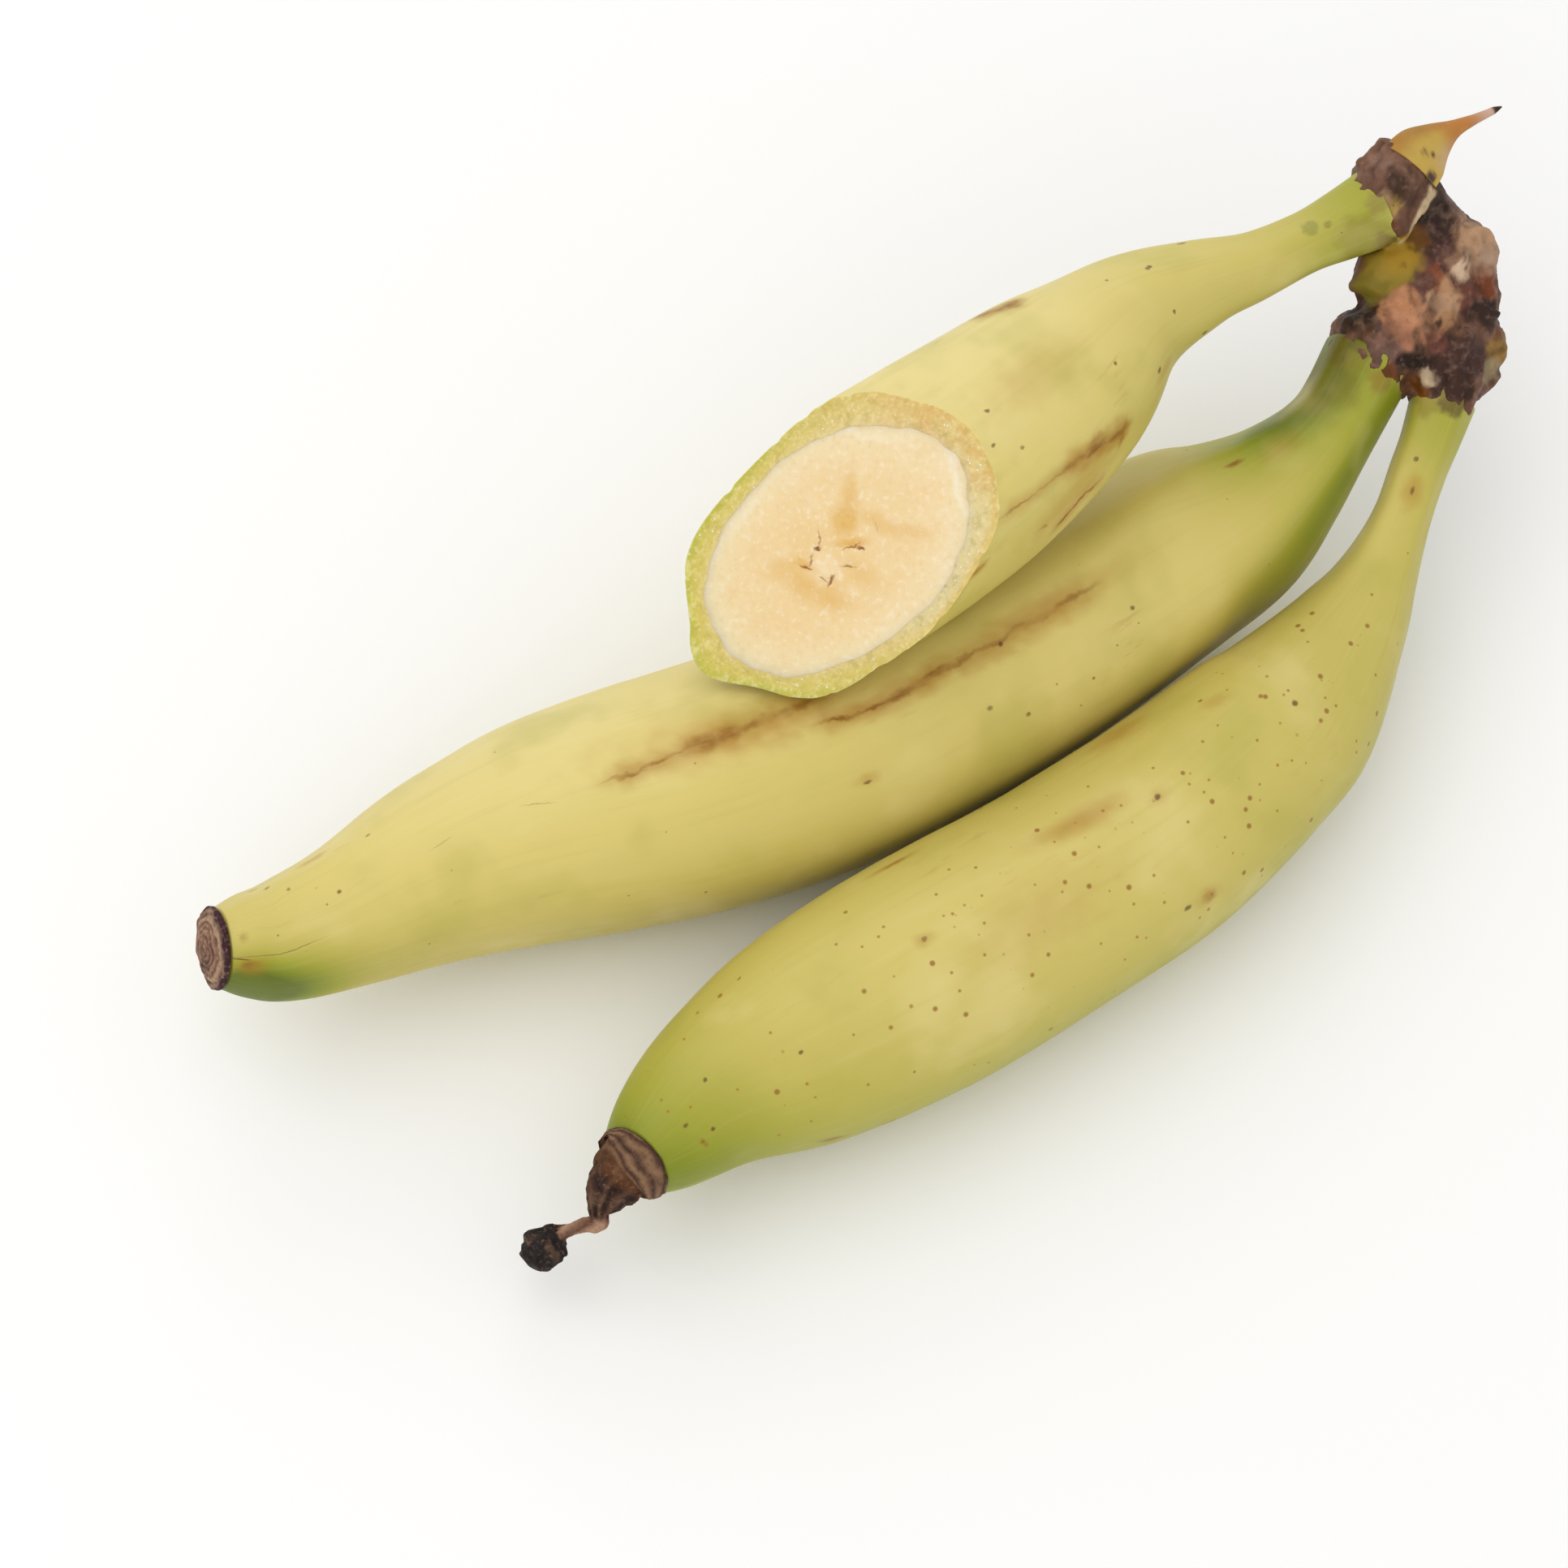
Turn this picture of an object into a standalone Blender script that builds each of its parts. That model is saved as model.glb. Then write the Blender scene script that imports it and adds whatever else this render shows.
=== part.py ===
"""A hand of green plantains lying on its side, its upper fruit cut across on the slant.

Three fruits grow from one dark, cut crown. Two are whole and lie on the surface. The third lies
over the middle one and is cut through, so that its peel and its flesh show.

+X runs along the fruits toward the crown, +Z is up, and the surface is at z = 0. Lengths in this
file are in millimetres, and are turned into metres where points are made.
"""

import math
from dataclasses import dataclass

import bmesh
import bpy
from mathutils import Matrix, Vector, noise

MM = 0.001
CLEARANCE = 0.3
FRUIT_SIDES = 30
RIDGE_COUNT = 5
STEPS_PER_SPAN = 2

# The side of the fruits that is turned up, from which the ridge angles are measured.
UPPER_SIDE = Vector((-0.28, -0.34, 0.90)).normalized()

# The peel is thicker on the side where the flesh leans away, at this angle round the fruit.
PEEL_THICKNESS = 4.2
FLESH_LEAN = 0.06
FLESH_LEAN_SIDE = math.radians(-155.0)
CUT_CENTRE = Vector((-11.6, 30.0, 76.6))
CUT_TURN = math.radians(198.0)
CUT_RISE = math.radians(50.0)


@dataclass(frozen=True)
class Station:
    """One place on a fruit's curved axis, with the size and shape of the fruit there."""

    x: float
    y: float
    z: float
    half_width: float
    # 3 is nearly round and 6 has firm ridges
    sharpness: float = 4.0
    # degrees from the upper side to the middle of the upper facet
    turn: float = 0.0

    def values(self):
        return (self.x, self.y, self.z, self.half_width, self.sharpness, self.turn)


@dataclass(frozen=True)
class Ring:
    """A cross-section: its centre, its two directions across the axis, and its radius."""

    centre: Vector
    upward: Vector
    sideways: Vector
    radius: float
    sharpness: float
    turn: float
    cut_share: float = 0.0


# Every fruit's stations run from its neck to its far end.
UPPER_FRUIT = [
    Station(127.0, 20.6, 72.0, 8.4, 4.5, -24),
    Station(117.9, 23.0, 70.5, 7.1, 5.0, -24),
    Station(109.6, 25.3, 69.5, 6.4, 5.0, -26),
    Station(97.7, 27.9, 69.5, 7.2, 5.0, -28),
    Station(86.3, 31.5, 70.0, 9.2, 5.0, -26),
    Station(68.9, 34.2, 70.9, 13.7, 4.6, -16),
    Station(47.5, 31.1, 72.8, 20.2, 4.2, -8),
    Station(17.9, 29.4, 74.6, 24.0, 4.0, -4),
    Station(-13.0, 30.3, 76.4, 25.1, 4.0, -4),
    Station(-41.2, 30.8, 77.4, 24.7, 4.0, -4),
    Station(-61.8, 31.2, 77.4, 24.3, 4.0, -4),
]
MIDDLE_FRUIT = [
    Station(111.1, 3.3, 50.2, 9.6, 4.6, 10),
    Station(96.8, -1.8, 46.0, 9.3, 5.2, 10),
    Station(84.1, -2.7, 40.0, 12.8, 5.4, 12),
    Station(71.1, -1.2, 34.0, 17.6, 5.0, 8),
    Station(56.4, 2.5, 29.5, 21.3, 4.6, -6),
    Station(32.5, 5.9, 25.9, 23.8, 4.2, -12),
    Station(6.2, 9.8, 25.0, 25.4, 4.0, -14),
    Station(-22.4, 14.8, 24.9, 25.9, 4.0, -14),
    Station(-45.7, 22.1, 24.9, 25.9, 4.0, -12),
    Station(-68.1, 31.5, 25.2, 25.0, 4.0, -8),
    Station(-86.6, 39.3, 25.6, 23.0, 4.0, -4),
    Station(-106.9, 45.2, 26.5, 19.2, 4.2, 0),
    Station(-127.8, 48.8, 28.0, 14.8, 4.4, 6),
    Station(-141.8, 52.1, 30.0, 12.5, 4.8, 10),
    Station(-149.5, 55.1, 32.6, 10.6, 4.6, 10),
    Station(-154.4, 57.2, 34.6, 8.4, 4.0, 10),
]
LOWER_FRUIT = [
    Station(118.3, -12.6, 45.6, 6.9, 4.2, 10),
    Station(110.5, -17.2, 44.0, 6.2, 4.6, 10),
    Station(104.1, -20.5, 41.0, 6.0, 4.8, 8),
    Station(95.6, -25.2, 37.0, 6.3, 4.8, 6),
    Station(85.7, -29.9, 32.0, 8.4, 4.6, 4),
    Station(75.3, -33.8, 28.2, 12.0, 4.2, 0),
    Station(54.5, -39.6, 24.2, 18.8, 3.9, -4),
    Station(39.5, -41.3, 23.8, 21.1, 3.8, -6),
    Station(11.9, -42.4, 23.3, 23.3, 3.8, -8),
    Station(-18.1, -39.6, 23.1, 23.9, 3.8, -8),
    Station(-47.0, -35.6, 23.6, 24.5, 3.8, -8),
    Station(-74.9, -31.0, 24.1, 22.0, 3.8, -8),
    Station(-94.3, -28.6, 25.0, 16.6, 4.0, -8),
    Station(-109.1, -29.9, 27.0, 12.3, 4.0, -8),
    Station(-117.7, -31.3, 29.5, 8.3, 3.8, -8),
]

# Toward its cut the upper fruit has uneven ridges: (angle in degrees, height), as a share of the
# half-width. They grow between two stations.
CUT_RIDGES = [(69.0, 0.11), (-36.0, 0.05), (-82.0, 0.06), (-120.0, 0.12), (-171.0, 0.12), (139.0, 0.09)]
CUT_RIDGE_WIDTH = 20.0
CUT_RIDGE_BASE = 0.95
CUT_RIDGE_STATIONS = (4.5, 7.0)

# The flesh tapers into the neck and starts at this share of the fruit's stations.
FLESH_START = 0.31

# The crown's cut face turns toward this side, and its length runs from its low end to its top.
CROWN_CENTRE = Vector((129.4, 1.8, 55.3))
CROWN_LENGTHWISE = Vector((24.1, 22.1, 15.0)).normalized()
CROWN_FACE_SIDE = Vector((-0.02, -0.56, 0.90))
CROWN_HALF_SIZES = Vector((20.8, 13.0, 10.5))
CROWN_FACE_LEVEL = 0.62
CROWN_FACE_BULGE = 0.12
CROWN_LUMP_SIZE = 6.5
CROWN_LUMP_HEIGHT = 1.3

# Each arm of the crown is a row of (point, radius) from its outer end into the crown.
UPPER_ARM = [((124.1, 21.4, 71.5), 6.7), ((128.6, 20.6, 72.2), 8.8), ((131.5, 20.4, 72.2), 8.3),
             ((133.8, 19.0, 70.4), 7.6), ((134.8, 14.4, 65.8), 7.4), ((134.8, 9.1, 60.0), 6.9)]
BAND_ARM = [((126.6, 21.2, 71.9), 5.5), ((129.9, 21.4, 72.6), 9.2), ((133.0, 22.4, 73.0), 8.6),
            ((137.0, 23.7, 73.4), 7.2), ((138.8, 24.3, 73.6), 5.2)]
STUMP_ARM = [((115.9, 10.4, 60.4), 4.4), ((119.6, 11.6, 60.6), 6.2), ((124.7, 11.8, 61.0), 7.9),
             ((132.7, 8.0, 58.0), 7.2)]
MIDDLE_ARM = [((108.4, 2.3, 49.4), 7.6), ((112.2, 3.6, 50.6), 9.9), ((116.9, 3.4, 52.6), 10.0),
              ((124.4, 2.6, 54.5), 8.0)]
LOWER_ARM = [((115.8, -14.1, 45.1), 5.2), ((119.3, -12.0, 45.9), 7.2), ((122.2, -8.9, 48.2), 8.2),
             ((126.4, -3.4, 52.0), 8.0)]
SKIN_LOBE = [((121.0, -12.0, 44.4), 4.2), ((128.0, -12.0, 45.6), 4.8), ((134.0, -7.4, 50.0), 4.6),
             ((133.4, -2.4, 53.0), 4.0)]
ARM_SIDES = 18
NECK_STATIONS = 5

# The torn strip of skin past the upper fruit's neck: (point, half-width, half-thickness).
SKIN_STRIP = [((135.0, 21.7, 79.6), 7.8, 1.8), ((139.0, 21.4, 80.4), 6.2, 1.8),
              ((143.4, 21.6, 80.8), 4.0, 1.5), ((147.9, 21.3, 80.8), 2.0, 1.2),
              ((152.3, 20.5, 80.6), 1.2, 0.9), ((155.9, 19.9, 80.2), 0.9, 0.8),
              ((158.5, 19.5, 80.0), 0.7, 0.6), ((160.1, 19.2, 79.8), 0.4, 0.4)]
STRIP_SIDES = 10

# The dried flower left on the lower fruit's end: a cap, given as (distance past the fruit, radius),
# then a bulb, a thin stalk and a dark knob, given as (point, radius).
FLOWER_CAP = [(0.2, 8.0), (1.8, 7.9)]
FLOWER_REMNANT = [((-121.4, -31.6, 29.6), 6.2), ((-123.2, -31.8, 28.4), 5.5), ((-125.2, -32.0, 27.2), 4.9),
                  ((-127.3, -32.7, 26.0), 3.8), ((-129.1, -33.4, 24.8), 2.1), ((-129.9, -34.4, 23.4), 1.5),
                  ((-130.8, -34.0, 22.0), 1.4), ((-132.8, -32.0, 20.0), 1.4), ((-135.8, -29.8, 17.0), 1.5),
                  ((-137.9, -29.2, 15.6), 3.1), ((-141.0, -29.2, 14.2), 4.2), ((-143.5, -29.2, 13.4), 3.3),
                  ((-144.8, -29.3, 13.1), 1.6)]
REMNANT_SIDES = 14
REMNANT_LUMP_SIZE = 3.0
REMNANT_LUMP_HEIGHT = 0.5
SCAR_SIDES = 28

# The round scar on the middle fruit's end: (distance past the fruit, radius).
FLOWER_SCAR = [(0.3, 8.1), (1.3, 8.5), (2.3, 7.2), (2.8, 4.0)]


def curve_value(t, a, b, c, d):
    """Return the value a share t of the way from b to c, on the smooth curve through all four."""
    bend = (2 * a - 5 * b + 4 * c - d) * t ** 2
    twist = (3 * b - a - 3 * c + d) * t ** 3
    return 0.5 * (2 * b + (c - a) * t + bend + twist)


def interpolate(rows, steps_per_span):
    """Return rows along a smooth curve through all the given rows of values."""
    samples = []
    for span in range(len(rows) - 1):
        here, there = rows[span], rows[span + 1]
        before = rows[span - 1] if span > 0 else here
        after = rows[span + 2] if span + 2 < len(rows) else there
        for step in range(steps_per_span):
            t = step / steps_per_span
            samples.append([curve_value(t, *four) for four in zip(before, here, there, after)])
    samples.append(list(rows[-1]))
    return samples


def tangents(points):
    """Return the direction of the curve at each of its points."""
    last = len(points) - 1
    return [(points[min(i + 1, last)] - points[max(i - 1, 0)]).normalized() for i in range(last + 1)]


def fruit_rings(stations, steps_per_span=STEPS_PER_SPAN):
    """Return the rings of a fruit, without twist, along the curve through its stations."""
    rows = interpolate([station.values() for station in stations], steps_per_span)
    centres = [Vector(row[:3]) for row in rows]
    rings = []
    for number, (row, centre, along) in enumerate(zip(rows, centres, tangents(centres))):
        sideways = along.cross(UPPER_SIDE).normalized()
        upward = sideways.cross(along).normalized()
        share = cut_ridge_share(number / steps_per_span) if stations is UPPER_FRUIT else 0.0
        rings.append(Ring(centre, upward, sideways, row[3], row[4], math.radians(row[5]), share))
    return rings


def cut_ridge_share(station):
    """Return how far the ridges have taken the shape that they have at the cut, from 0 to 1."""
    start, end = CUT_RIDGE_STATIONS
    return min(1.0, max(0.0, (station - start) / (end - start)))


def cut_radius(angle):
    """Return the relative radius of the upper fruit's section at its cut."""
    total = CUT_RIDGE_BASE
    for ridge, height in CUT_RIDGES:
        off = (math.degrees(angle) - ridge + 180.0) % 360.0 - 180.0
        total += height * math.exp(-((off / CUT_RIDGE_WIDTH) ** 2))
    return total


def ridged_radius(angle, sharpness, turn):
    """Return the relative radius of a rounded five-sided section at an angle."""
    total = 0.0
    for facet in range(RIDGE_COUNT):
        facing = math.cos(angle - turn - facet * math.tau / RIDGE_COUNT)
        total += max(0.0, facing) ** sharpness
    return total ** (-1.0 / sharpness)


def ring_points(ring, sides, grow=0.0):
    """Return the points of one ring, in metres, with its radius grown by a margin."""
    points = []
    for side in range(sides):
        angle = ring.turn + side * math.tau / sides
        even = ridged_radius(angle, ring.sharpness, ring.turn)
        relative = even + (cut_radius(angle) - even) * ring.cut_share
        radius = ring.radius * relative + grow
        across = ring.upward * math.cos(angle) + ring.sideways * math.sin(angle)
        points.append((ring.centre + across * radius) * MM)
    return points


def loft(loops):
    """Return a closed bmesh skinned over rows of points, with a flat cap at each end."""
    bm = bmesh.new()
    previous = None
    for points in loops:
        made = bmesh.ops.create_circle(bm, segments=len(points), radius=MM, cap_ends=False)
        for vert, point in zip(made["verts"], points):
            vert.co = point
        edges = list({edge for vert in made["verts"] for edge in vert.link_edges})
        if previous is not None:
            bmesh.ops.bridge_loops(bm, edges=previous + edges)
        previous = edges
    bmesh.ops.holes_fill(bm, edges=bm.edges, sides=0)
    bmesh.ops.recalc_face_normals(bm, faces=bm.faces)
    return bm


def cut_off(bm, point, outward):
    """Cut away what lies beyond a plane and close the body with a flat face there."""
    geometry = list(bm.verts) + list(bm.edges) + list(bm.faces)
    bmesh.ops.bisect_plane(
        bm, geom=geometry, plane_co=point * MM, plane_no=outward, clear_outer=True)
    bmesh.ops.holes_fill(bm, edges=bm.edges, sides=0)
    bmesh.ops.recalc_face_normals(bm, faces=bm.faces)


def round_loops(rows, sides):
    """Return loops of points round a path of (point, radius) rows."""
    centres = [Vector(point) for point, _ in rows]
    loops = []
    for centre, along, (_, radius) in zip(centres, tangents(centres), rows):
        sideways = along.cross(UPPER_SIDE).normalized()
        upward = sideways.cross(along).normalized()
        loops.append([
            (centre + (upward * math.cos(a) + sideways * math.sin(a)) * radius) * MM
            for a in (side * math.tau / sides for side in range(sides))
        ])
    return loops


def smooth_rows(rows, steps_per_span):
    """Return (point, radius) rows along the smooth curve through the given ones."""
    samples = interpolate([(*point, radius) for point, radius in rows], steps_per_span)
    return [(Vector(row[:3]), row[3]) for row in samples]


def add_lumps(bm, size, height):
    """Push the surface in and out by soft lumps of a given size."""
    bm.normal_update()
    for vert in bm.verts:
        push = noise.noise(vert.co / (size * MM)) + 0.5 * noise.noise(vert.co * 2.3 / (size * MM))
        vert.co += vert.normal * push * height * MM


def make_material(name, colour, roughness):
    """Return a plain surface with a colour and roughness and no metal."""
    material = bpy.data.materials.new(name)
    material.use_nodes = True
    shader = material.node_tree.nodes["Principled BSDF"]
    shader.inputs["Base Color"].default_value = (*colour, 1.0)
    shader.inputs["Roughness"].default_value = roughness
    shader.inputs["Metallic"].default_value = 0.0
    material.diffuse_color = (*colour, 1.0)
    return material


def make_object(name, bm, material=None):
    """Turn a bmesh into a smooth-shaded object."""
    mesh = bpy.data.meshes.new(name)
    bm.to_mesh(mesh)
    bm.free()
    mesh.shade_smooth()
    piece = bpy.data.objects.new(name, mesh)
    bpy.context.scene.collection.objects.link(piece)
    if material is not None:
        mesh.materials.append(material)
    return piece


def combine(piece, other, operation, solver="EXACT"):
    """Join another body to a piece, or cut it out, and remove the other body."""
    modifier = piece.modifiers.new(operation.title(), "BOOLEAN")
    modifier.operation = operation
    modifier.solver = solver
    modifier.object = other
    bpy.context.view_layer.update()
    depsgraph = bpy.context.evaluated_depsgraph_get()
    result = bpy.data.meshes.new_from_object(piece.evaluated_get(depsgraph))
    piece.modifiers.remove(modifier)
    piece.data = result
    bpy.data.objects.remove(other)


def grown_fruit(name, stations):
    """Return a body that is a clearance larger than a fruit's neck, to cut its socket with."""
    rings = fruit_rings(stations[:NECK_STATIONS])
    along = (rings[0].centre - rings[1].centre).normalized()
    past_end = Ring(rings[0].centre + along * CLEARANCE, rings[0].upward, rings[0].sideways,
                    rings[0].radius, rings[0].sharpness, rings[0].turn)
    loops = [ring_points(ring, FRUIT_SIDES, CLEARANCE) for ring in [past_end] + rings[1:]]
    return make_object(name, loft(loops))


def make_whole_fruit(name, stations, material):
    """Make a whole fruit, flattened a little where it lies on the surface."""
    bm = loft([ring_points(ring, FRUIT_SIDES) for ring in fruit_rings(stations)])
    cut_off(bm, Vector((0.0, 0.0, 0.0)), Vector((0.0, 0.0, -1.0)))
    return make_object(name, bm, material)


def cut_direction():
    """Return the direction that the upper fruit's cut face looks in."""
    level = math.cos(CUT_RISE)
    return Vector((math.cos(CUT_TURN) * level, math.sin(CUT_TURN) * level, math.sin(CUT_RISE)))


def flesh_loops(margin):
    """Return the loops of the upper fruit's flesh, drawn in from the peel by a margin."""
    rings = fruit_rings(UPPER_FRUIT)
    first = round(FLESH_START * (len(rings) - 1))
    loops = []
    for ring in rings[first:]:
        points = []
        for side in range(FRUIT_SIDES):
            angle = ring.turn + side * math.tau / FRUIT_SIDES
            lean = FLESH_LEAN * math.cos(angle - FLESH_LEAN_SIDE)
            radius = ring.radius * (1.0 + lean) - PEEL_THICKNESS - margin
            across = ring.upward * math.cos(angle) + ring.sideways * math.sin(angle)
            points.append((ring.centre + across * radius) * MM)
        loops.append(points)
    return loops


def make_cut_fruit(peel_material, flesh_material):
    """Make the upper fruit's peel, open at the cut, and the flesh inside it."""
    outer = loft([ring_points(ring, FRUIT_SIDES) for ring in fruit_rings(UPPER_FRUIT)])
    cut_off(outer, CUT_CENTRE, cut_direction())
    peel = make_object("upper_fruit_peel", outer, peel_material)
    combine(peel, make_object("flesh_hollow", loft(flesh_loops(0.0))), "DIFFERENCE")
    flesh = loft(flesh_loops(CLEARANCE))
    cut_off(flesh, CUT_CENTRE, cut_direction())
    make_object("upper_fruit_flesh", flesh, flesh_material)


def crown_core():
    """Return the crown's lumpy core, with a flat cut face on one side."""
    face_side = (CROWN_FACE_SIDE - CROWN_LENGTHWISE * CROWN_FACE_SIDE.dot(CROWN_LENGTHWISE)).normalized()
    crosswise = face_side.cross(CROWN_LENGTHWISE)
    turn = Matrix((CROWN_LENGTHWISE, crosswise, face_side)).transposed()
    bm = bmesh.new()
    bmesh.ops.create_icosphere(bm, subdivisions=3, radius=1.0)
    for vert in bm.verts:
        local = vert.co.copy()
        local.z = min(local.z, CROWN_FACE_LEVEL + CROWN_FACE_BULGE * (local.z - CROWN_FACE_LEVEL))
        sized = Vector([share * half for share, half in zip(local, CROWN_HALF_SIZES)])
        vert.co = (CROWN_CENTRE + turn @ sized) * MM
    add_lumps(bm, CROWN_LUMP_SIZE, CROWN_LUMP_HEIGHT)
    return bm


def make_crown(material):
    """Make the crown with an arm to each neck and a stump, and a socket for each neck."""
    crown = make_object("crown", crown_core(), material)
    for arm in (UPPER_ARM, BAND_ARM, STUMP_ARM, MIDDLE_ARM, LOWER_ARM, SKIN_LOBE):
        body = loft(round_loops(smooth_rows(arm, STEPS_PER_SPAN), ARM_SIDES))
        combine(crown, make_object("arm", body), "UNION", "MANIFOLD")
    for stations in (UPPER_FRUIT, MIDDLE_FRUIT, LOWER_FRUIT):
        combine(crown, grown_fruit("neck_room", stations), "DIFFERENCE", "MANIFOLD")
    crown.data.materials.clear()
    crown.data.materials.append(material)


def make_skin_strip(material):
    """Make the torn strip of skin that tapers to a curled tail past the upper neck."""
    rows = interpolate([(*point, width, depth) for point, width, depth in SKIN_STRIP], STEPS_PER_SPAN)
    centres = [Vector(row[:3]) for row in rows]
    loops = []
    for row, centre, along in zip(rows, centres, tangents(centres)):
        sideways = along.cross(UPPER_SIDE).normalized()
        upward = sideways.cross(along).normalized()
        loops.append([
            (centre + sideways * row[3] * math.cos(a) + upward * row[4] * math.sin(a)) * MM
            for a in (side * math.tau / STRIP_SIDES for side in range(STRIP_SIDES))
        ])
    strip = make_object("torn_skin_strip", loft(loops), material)
    for arm in (UPPER_ARM, BAND_ARM):
        grown_arm = [(point, radius + CLEARANCE) for point, radius in arm]
        arm_room = loft(round_loops(smooth_rows(grown_arm, STEPS_PER_SPAN), ARM_SIDES))
        combine(strip, make_object("arm_room", arm_room), "DIFFERENCE")


def fruit_end(stations):
    """Return the middle of a fruit's far end and the direction that it points in."""
    second_last, last = [ring.centre for ring in fruit_rings(stations)[-2:]]
    return last, (last - second_last).normalized()


def make_flower_remnant(material):
    """Make the dried flower that still hangs from the lower fruit's end."""
    end, along = fruit_end(LOWER_FRUIT)
    cap = [(end + along * distance, radius) for distance, radius in FLOWER_CAP]
    bm = loft(round_loops(smooth_rows(cap + FLOWER_REMNANT, STEPS_PER_SPAN), REMNANT_SIDES))
    add_lumps(bm, REMNANT_LUMP_SIZE, REMNANT_LUMP_HEIGHT)
    cut_off(bm, end + along * CLEARANCE, -along)
    make_object("lower_flower_remnant", bm, material)


def make_flower_scar(material):
    """Make the round dried scar on the middle fruit's end."""
    end, along = fruit_end(MIDDLE_FRUIT)
    rows = [(end + along * distance, radius) for distance, radius in FLOWER_SCAR]
    make_object("middle_flower_scar", loft(round_loops(rows, SCAR_SIDES)), material)


def build():
    """Make every piece of the hand."""
    for old in list(bpy.data.objects):
        bpy.data.objects.remove(old)
    skin = make_material("green_yellow_skin", (0.58, 0.60, 0.14), 0.42)
    cut_peel = make_material("pale_green_peel", (0.66, 0.66, 0.22), 0.42)
    flesh = make_material("cream_flesh", (0.86, 0.72, 0.48), 0.5)
    woody = make_material("dark_woody_crown", (0.16, 0.09, 0.08), 0.8)
    dried = make_material("dried_flower", (0.14, 0.09, 0.06), 0.85)
    strip = make_material("torn_yellow_skin", (0.60, 0.40, 0.10), 0.55)
    make_whole_fruit("middle_fruit", MIDDLE_FRUIT, skin)
    make_whole_fruit("lower_fruit", LOWER_FRUIT, skin)
    make_cut_fruit(cut_peel, flesh)
    make_crown(woody)
    make_skin_strip(strip)
    make_flower_remnant(dried)
    make_flower_scar(dried)


build()
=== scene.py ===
"""Looks of a hand of green plantains lying on its side, its upper fruit cut across on the slant.

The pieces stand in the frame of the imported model: +X runs along the fruits toward the crown, +Z is
up and the surface is at z = 0. Sizes in this file are in millimetres until a mesh is finished.
"""

import logging
import math
from dataclasses import dataclass
from enum import Enum
from functools import cached_property
from typing import Any, Callable, NamedTuple, Sequence

import bmesh
import bpy
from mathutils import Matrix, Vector, noise


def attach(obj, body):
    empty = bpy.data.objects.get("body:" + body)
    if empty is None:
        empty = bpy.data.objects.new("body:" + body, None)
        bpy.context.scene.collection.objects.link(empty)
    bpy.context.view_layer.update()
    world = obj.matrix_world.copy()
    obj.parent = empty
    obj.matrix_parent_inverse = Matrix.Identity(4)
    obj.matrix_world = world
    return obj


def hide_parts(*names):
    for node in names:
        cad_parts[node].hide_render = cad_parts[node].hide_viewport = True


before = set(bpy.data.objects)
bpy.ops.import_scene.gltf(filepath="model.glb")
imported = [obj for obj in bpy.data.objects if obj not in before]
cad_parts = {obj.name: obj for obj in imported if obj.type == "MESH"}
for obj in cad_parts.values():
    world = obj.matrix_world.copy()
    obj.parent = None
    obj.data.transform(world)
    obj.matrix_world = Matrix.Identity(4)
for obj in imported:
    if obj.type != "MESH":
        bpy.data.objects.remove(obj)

LOG = logging.getLogger("plantain_hand")
MM = 0.001
BODY = "root"
RIDGE_COUNT = 5
# Fixes the wandering edges on the crown, which otherwise differ from run to run.
NOISE_SEED = 1

# The side of the fruits that is turned up, from which angles round a fruit are measured.
UPPER_SIDE = Vector((-0.28, -0.34, 0.90)).normalized()
# The level direction that runs to the right in the camera's view.
SEEN_RIGHT = Vector((0.766, -0.643, 0.0))
# The middle of the cut face in mm, and where it looks: round from +X, and up from level.
CUT_CENTRE = Vector((-11.6, 30.0, 76.6))
CUT_TURN = math.radians(198.0)
CUT_RISE = math.radians(50.0)

Colour = tuple[float, float, float, float]
Point = tuple[float, float, float]
Spot = tuple[float, float, float, float, float, float]


def linear(code: str) -> Colour:
    """Turn an sRGB hex code into a linear colour.

    Args:
        code: Six hex digits, with or without a leading hash.

    Returns:
        The linear red, green and blue, and an alpha of 1.
    """
    digits = code.lstrip("#")
    values = []
    for start in (0, 2, 4):
        share = int(digits[start:start + 2], 16) / 255
        values.append(share / 12.92 if share <= 0.04045 else ((share + 0.055) / 1.055) ** 2.4)
    return (values[0], values[1], values[2], 1.0)


def blend_colours(first: Colour, second: Colour, share: float) -> Colour:
    """Mix two linear colours.

    Args:
        first: The colour at share 0.
        second: The colour at share 1.
        share: How much of the second colour to take.

    Returns:
        The mixed colour.
    """
    kept = min(1.0, max(0.0, share))
    return tuple(a + (b - a) * kept for a, b in zip(first, second))


def ease(low: float, high: float, value: float) -> float:
    """Rise smoothly from 0 at low to 1 at high.

    Args:
        low: Where the rise starts.
        high: Where the rise ends, which may lie below low for a fall.
        value: The value to place between them.

    Returns:
        A share from 0 to 1.
    """
    share = min(1.0, max(0.0, (value - low) / (high - low)))
    return share * share * (3.0 - 2.0 * share)


class Slot(str, Enum):
    """The record's material slots."""

    CROWN = "woody_crown"
    PEEL = "pale_peel"
    FLESH = "flesh"
    SKIN = "green_skin"
    DRIED = "dried_flower"
    TORN = "torn_skin"


# Shader graphs.


def add_node(
    tree: bpy.types.NodeTree, kind: str, inputs: dict[Any, Any] | None = None, **settings: Any
) -> bpy.types.Node:
    """Add a node, set its options and fill its sockets.

    Args:
        tree: The node tree to add to.
        kind: The node's type name.
        inputs: Socket names or numbers, each with a value or with a socket to link from.
        **settings: Options of the node.

    Returns:
        The new node.
    """
    node = tree.nodes.new(kind)
    for name, value in settings.items():
        setattr(node, name, value)
    for key, value in (inputs or {}).items():
        if isinstance(value, bpy.types.NodeSocket):
            tree.links.new(value, node.inputs[key])
        else:
            node.inputs[key].default_value = value
    return node


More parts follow.
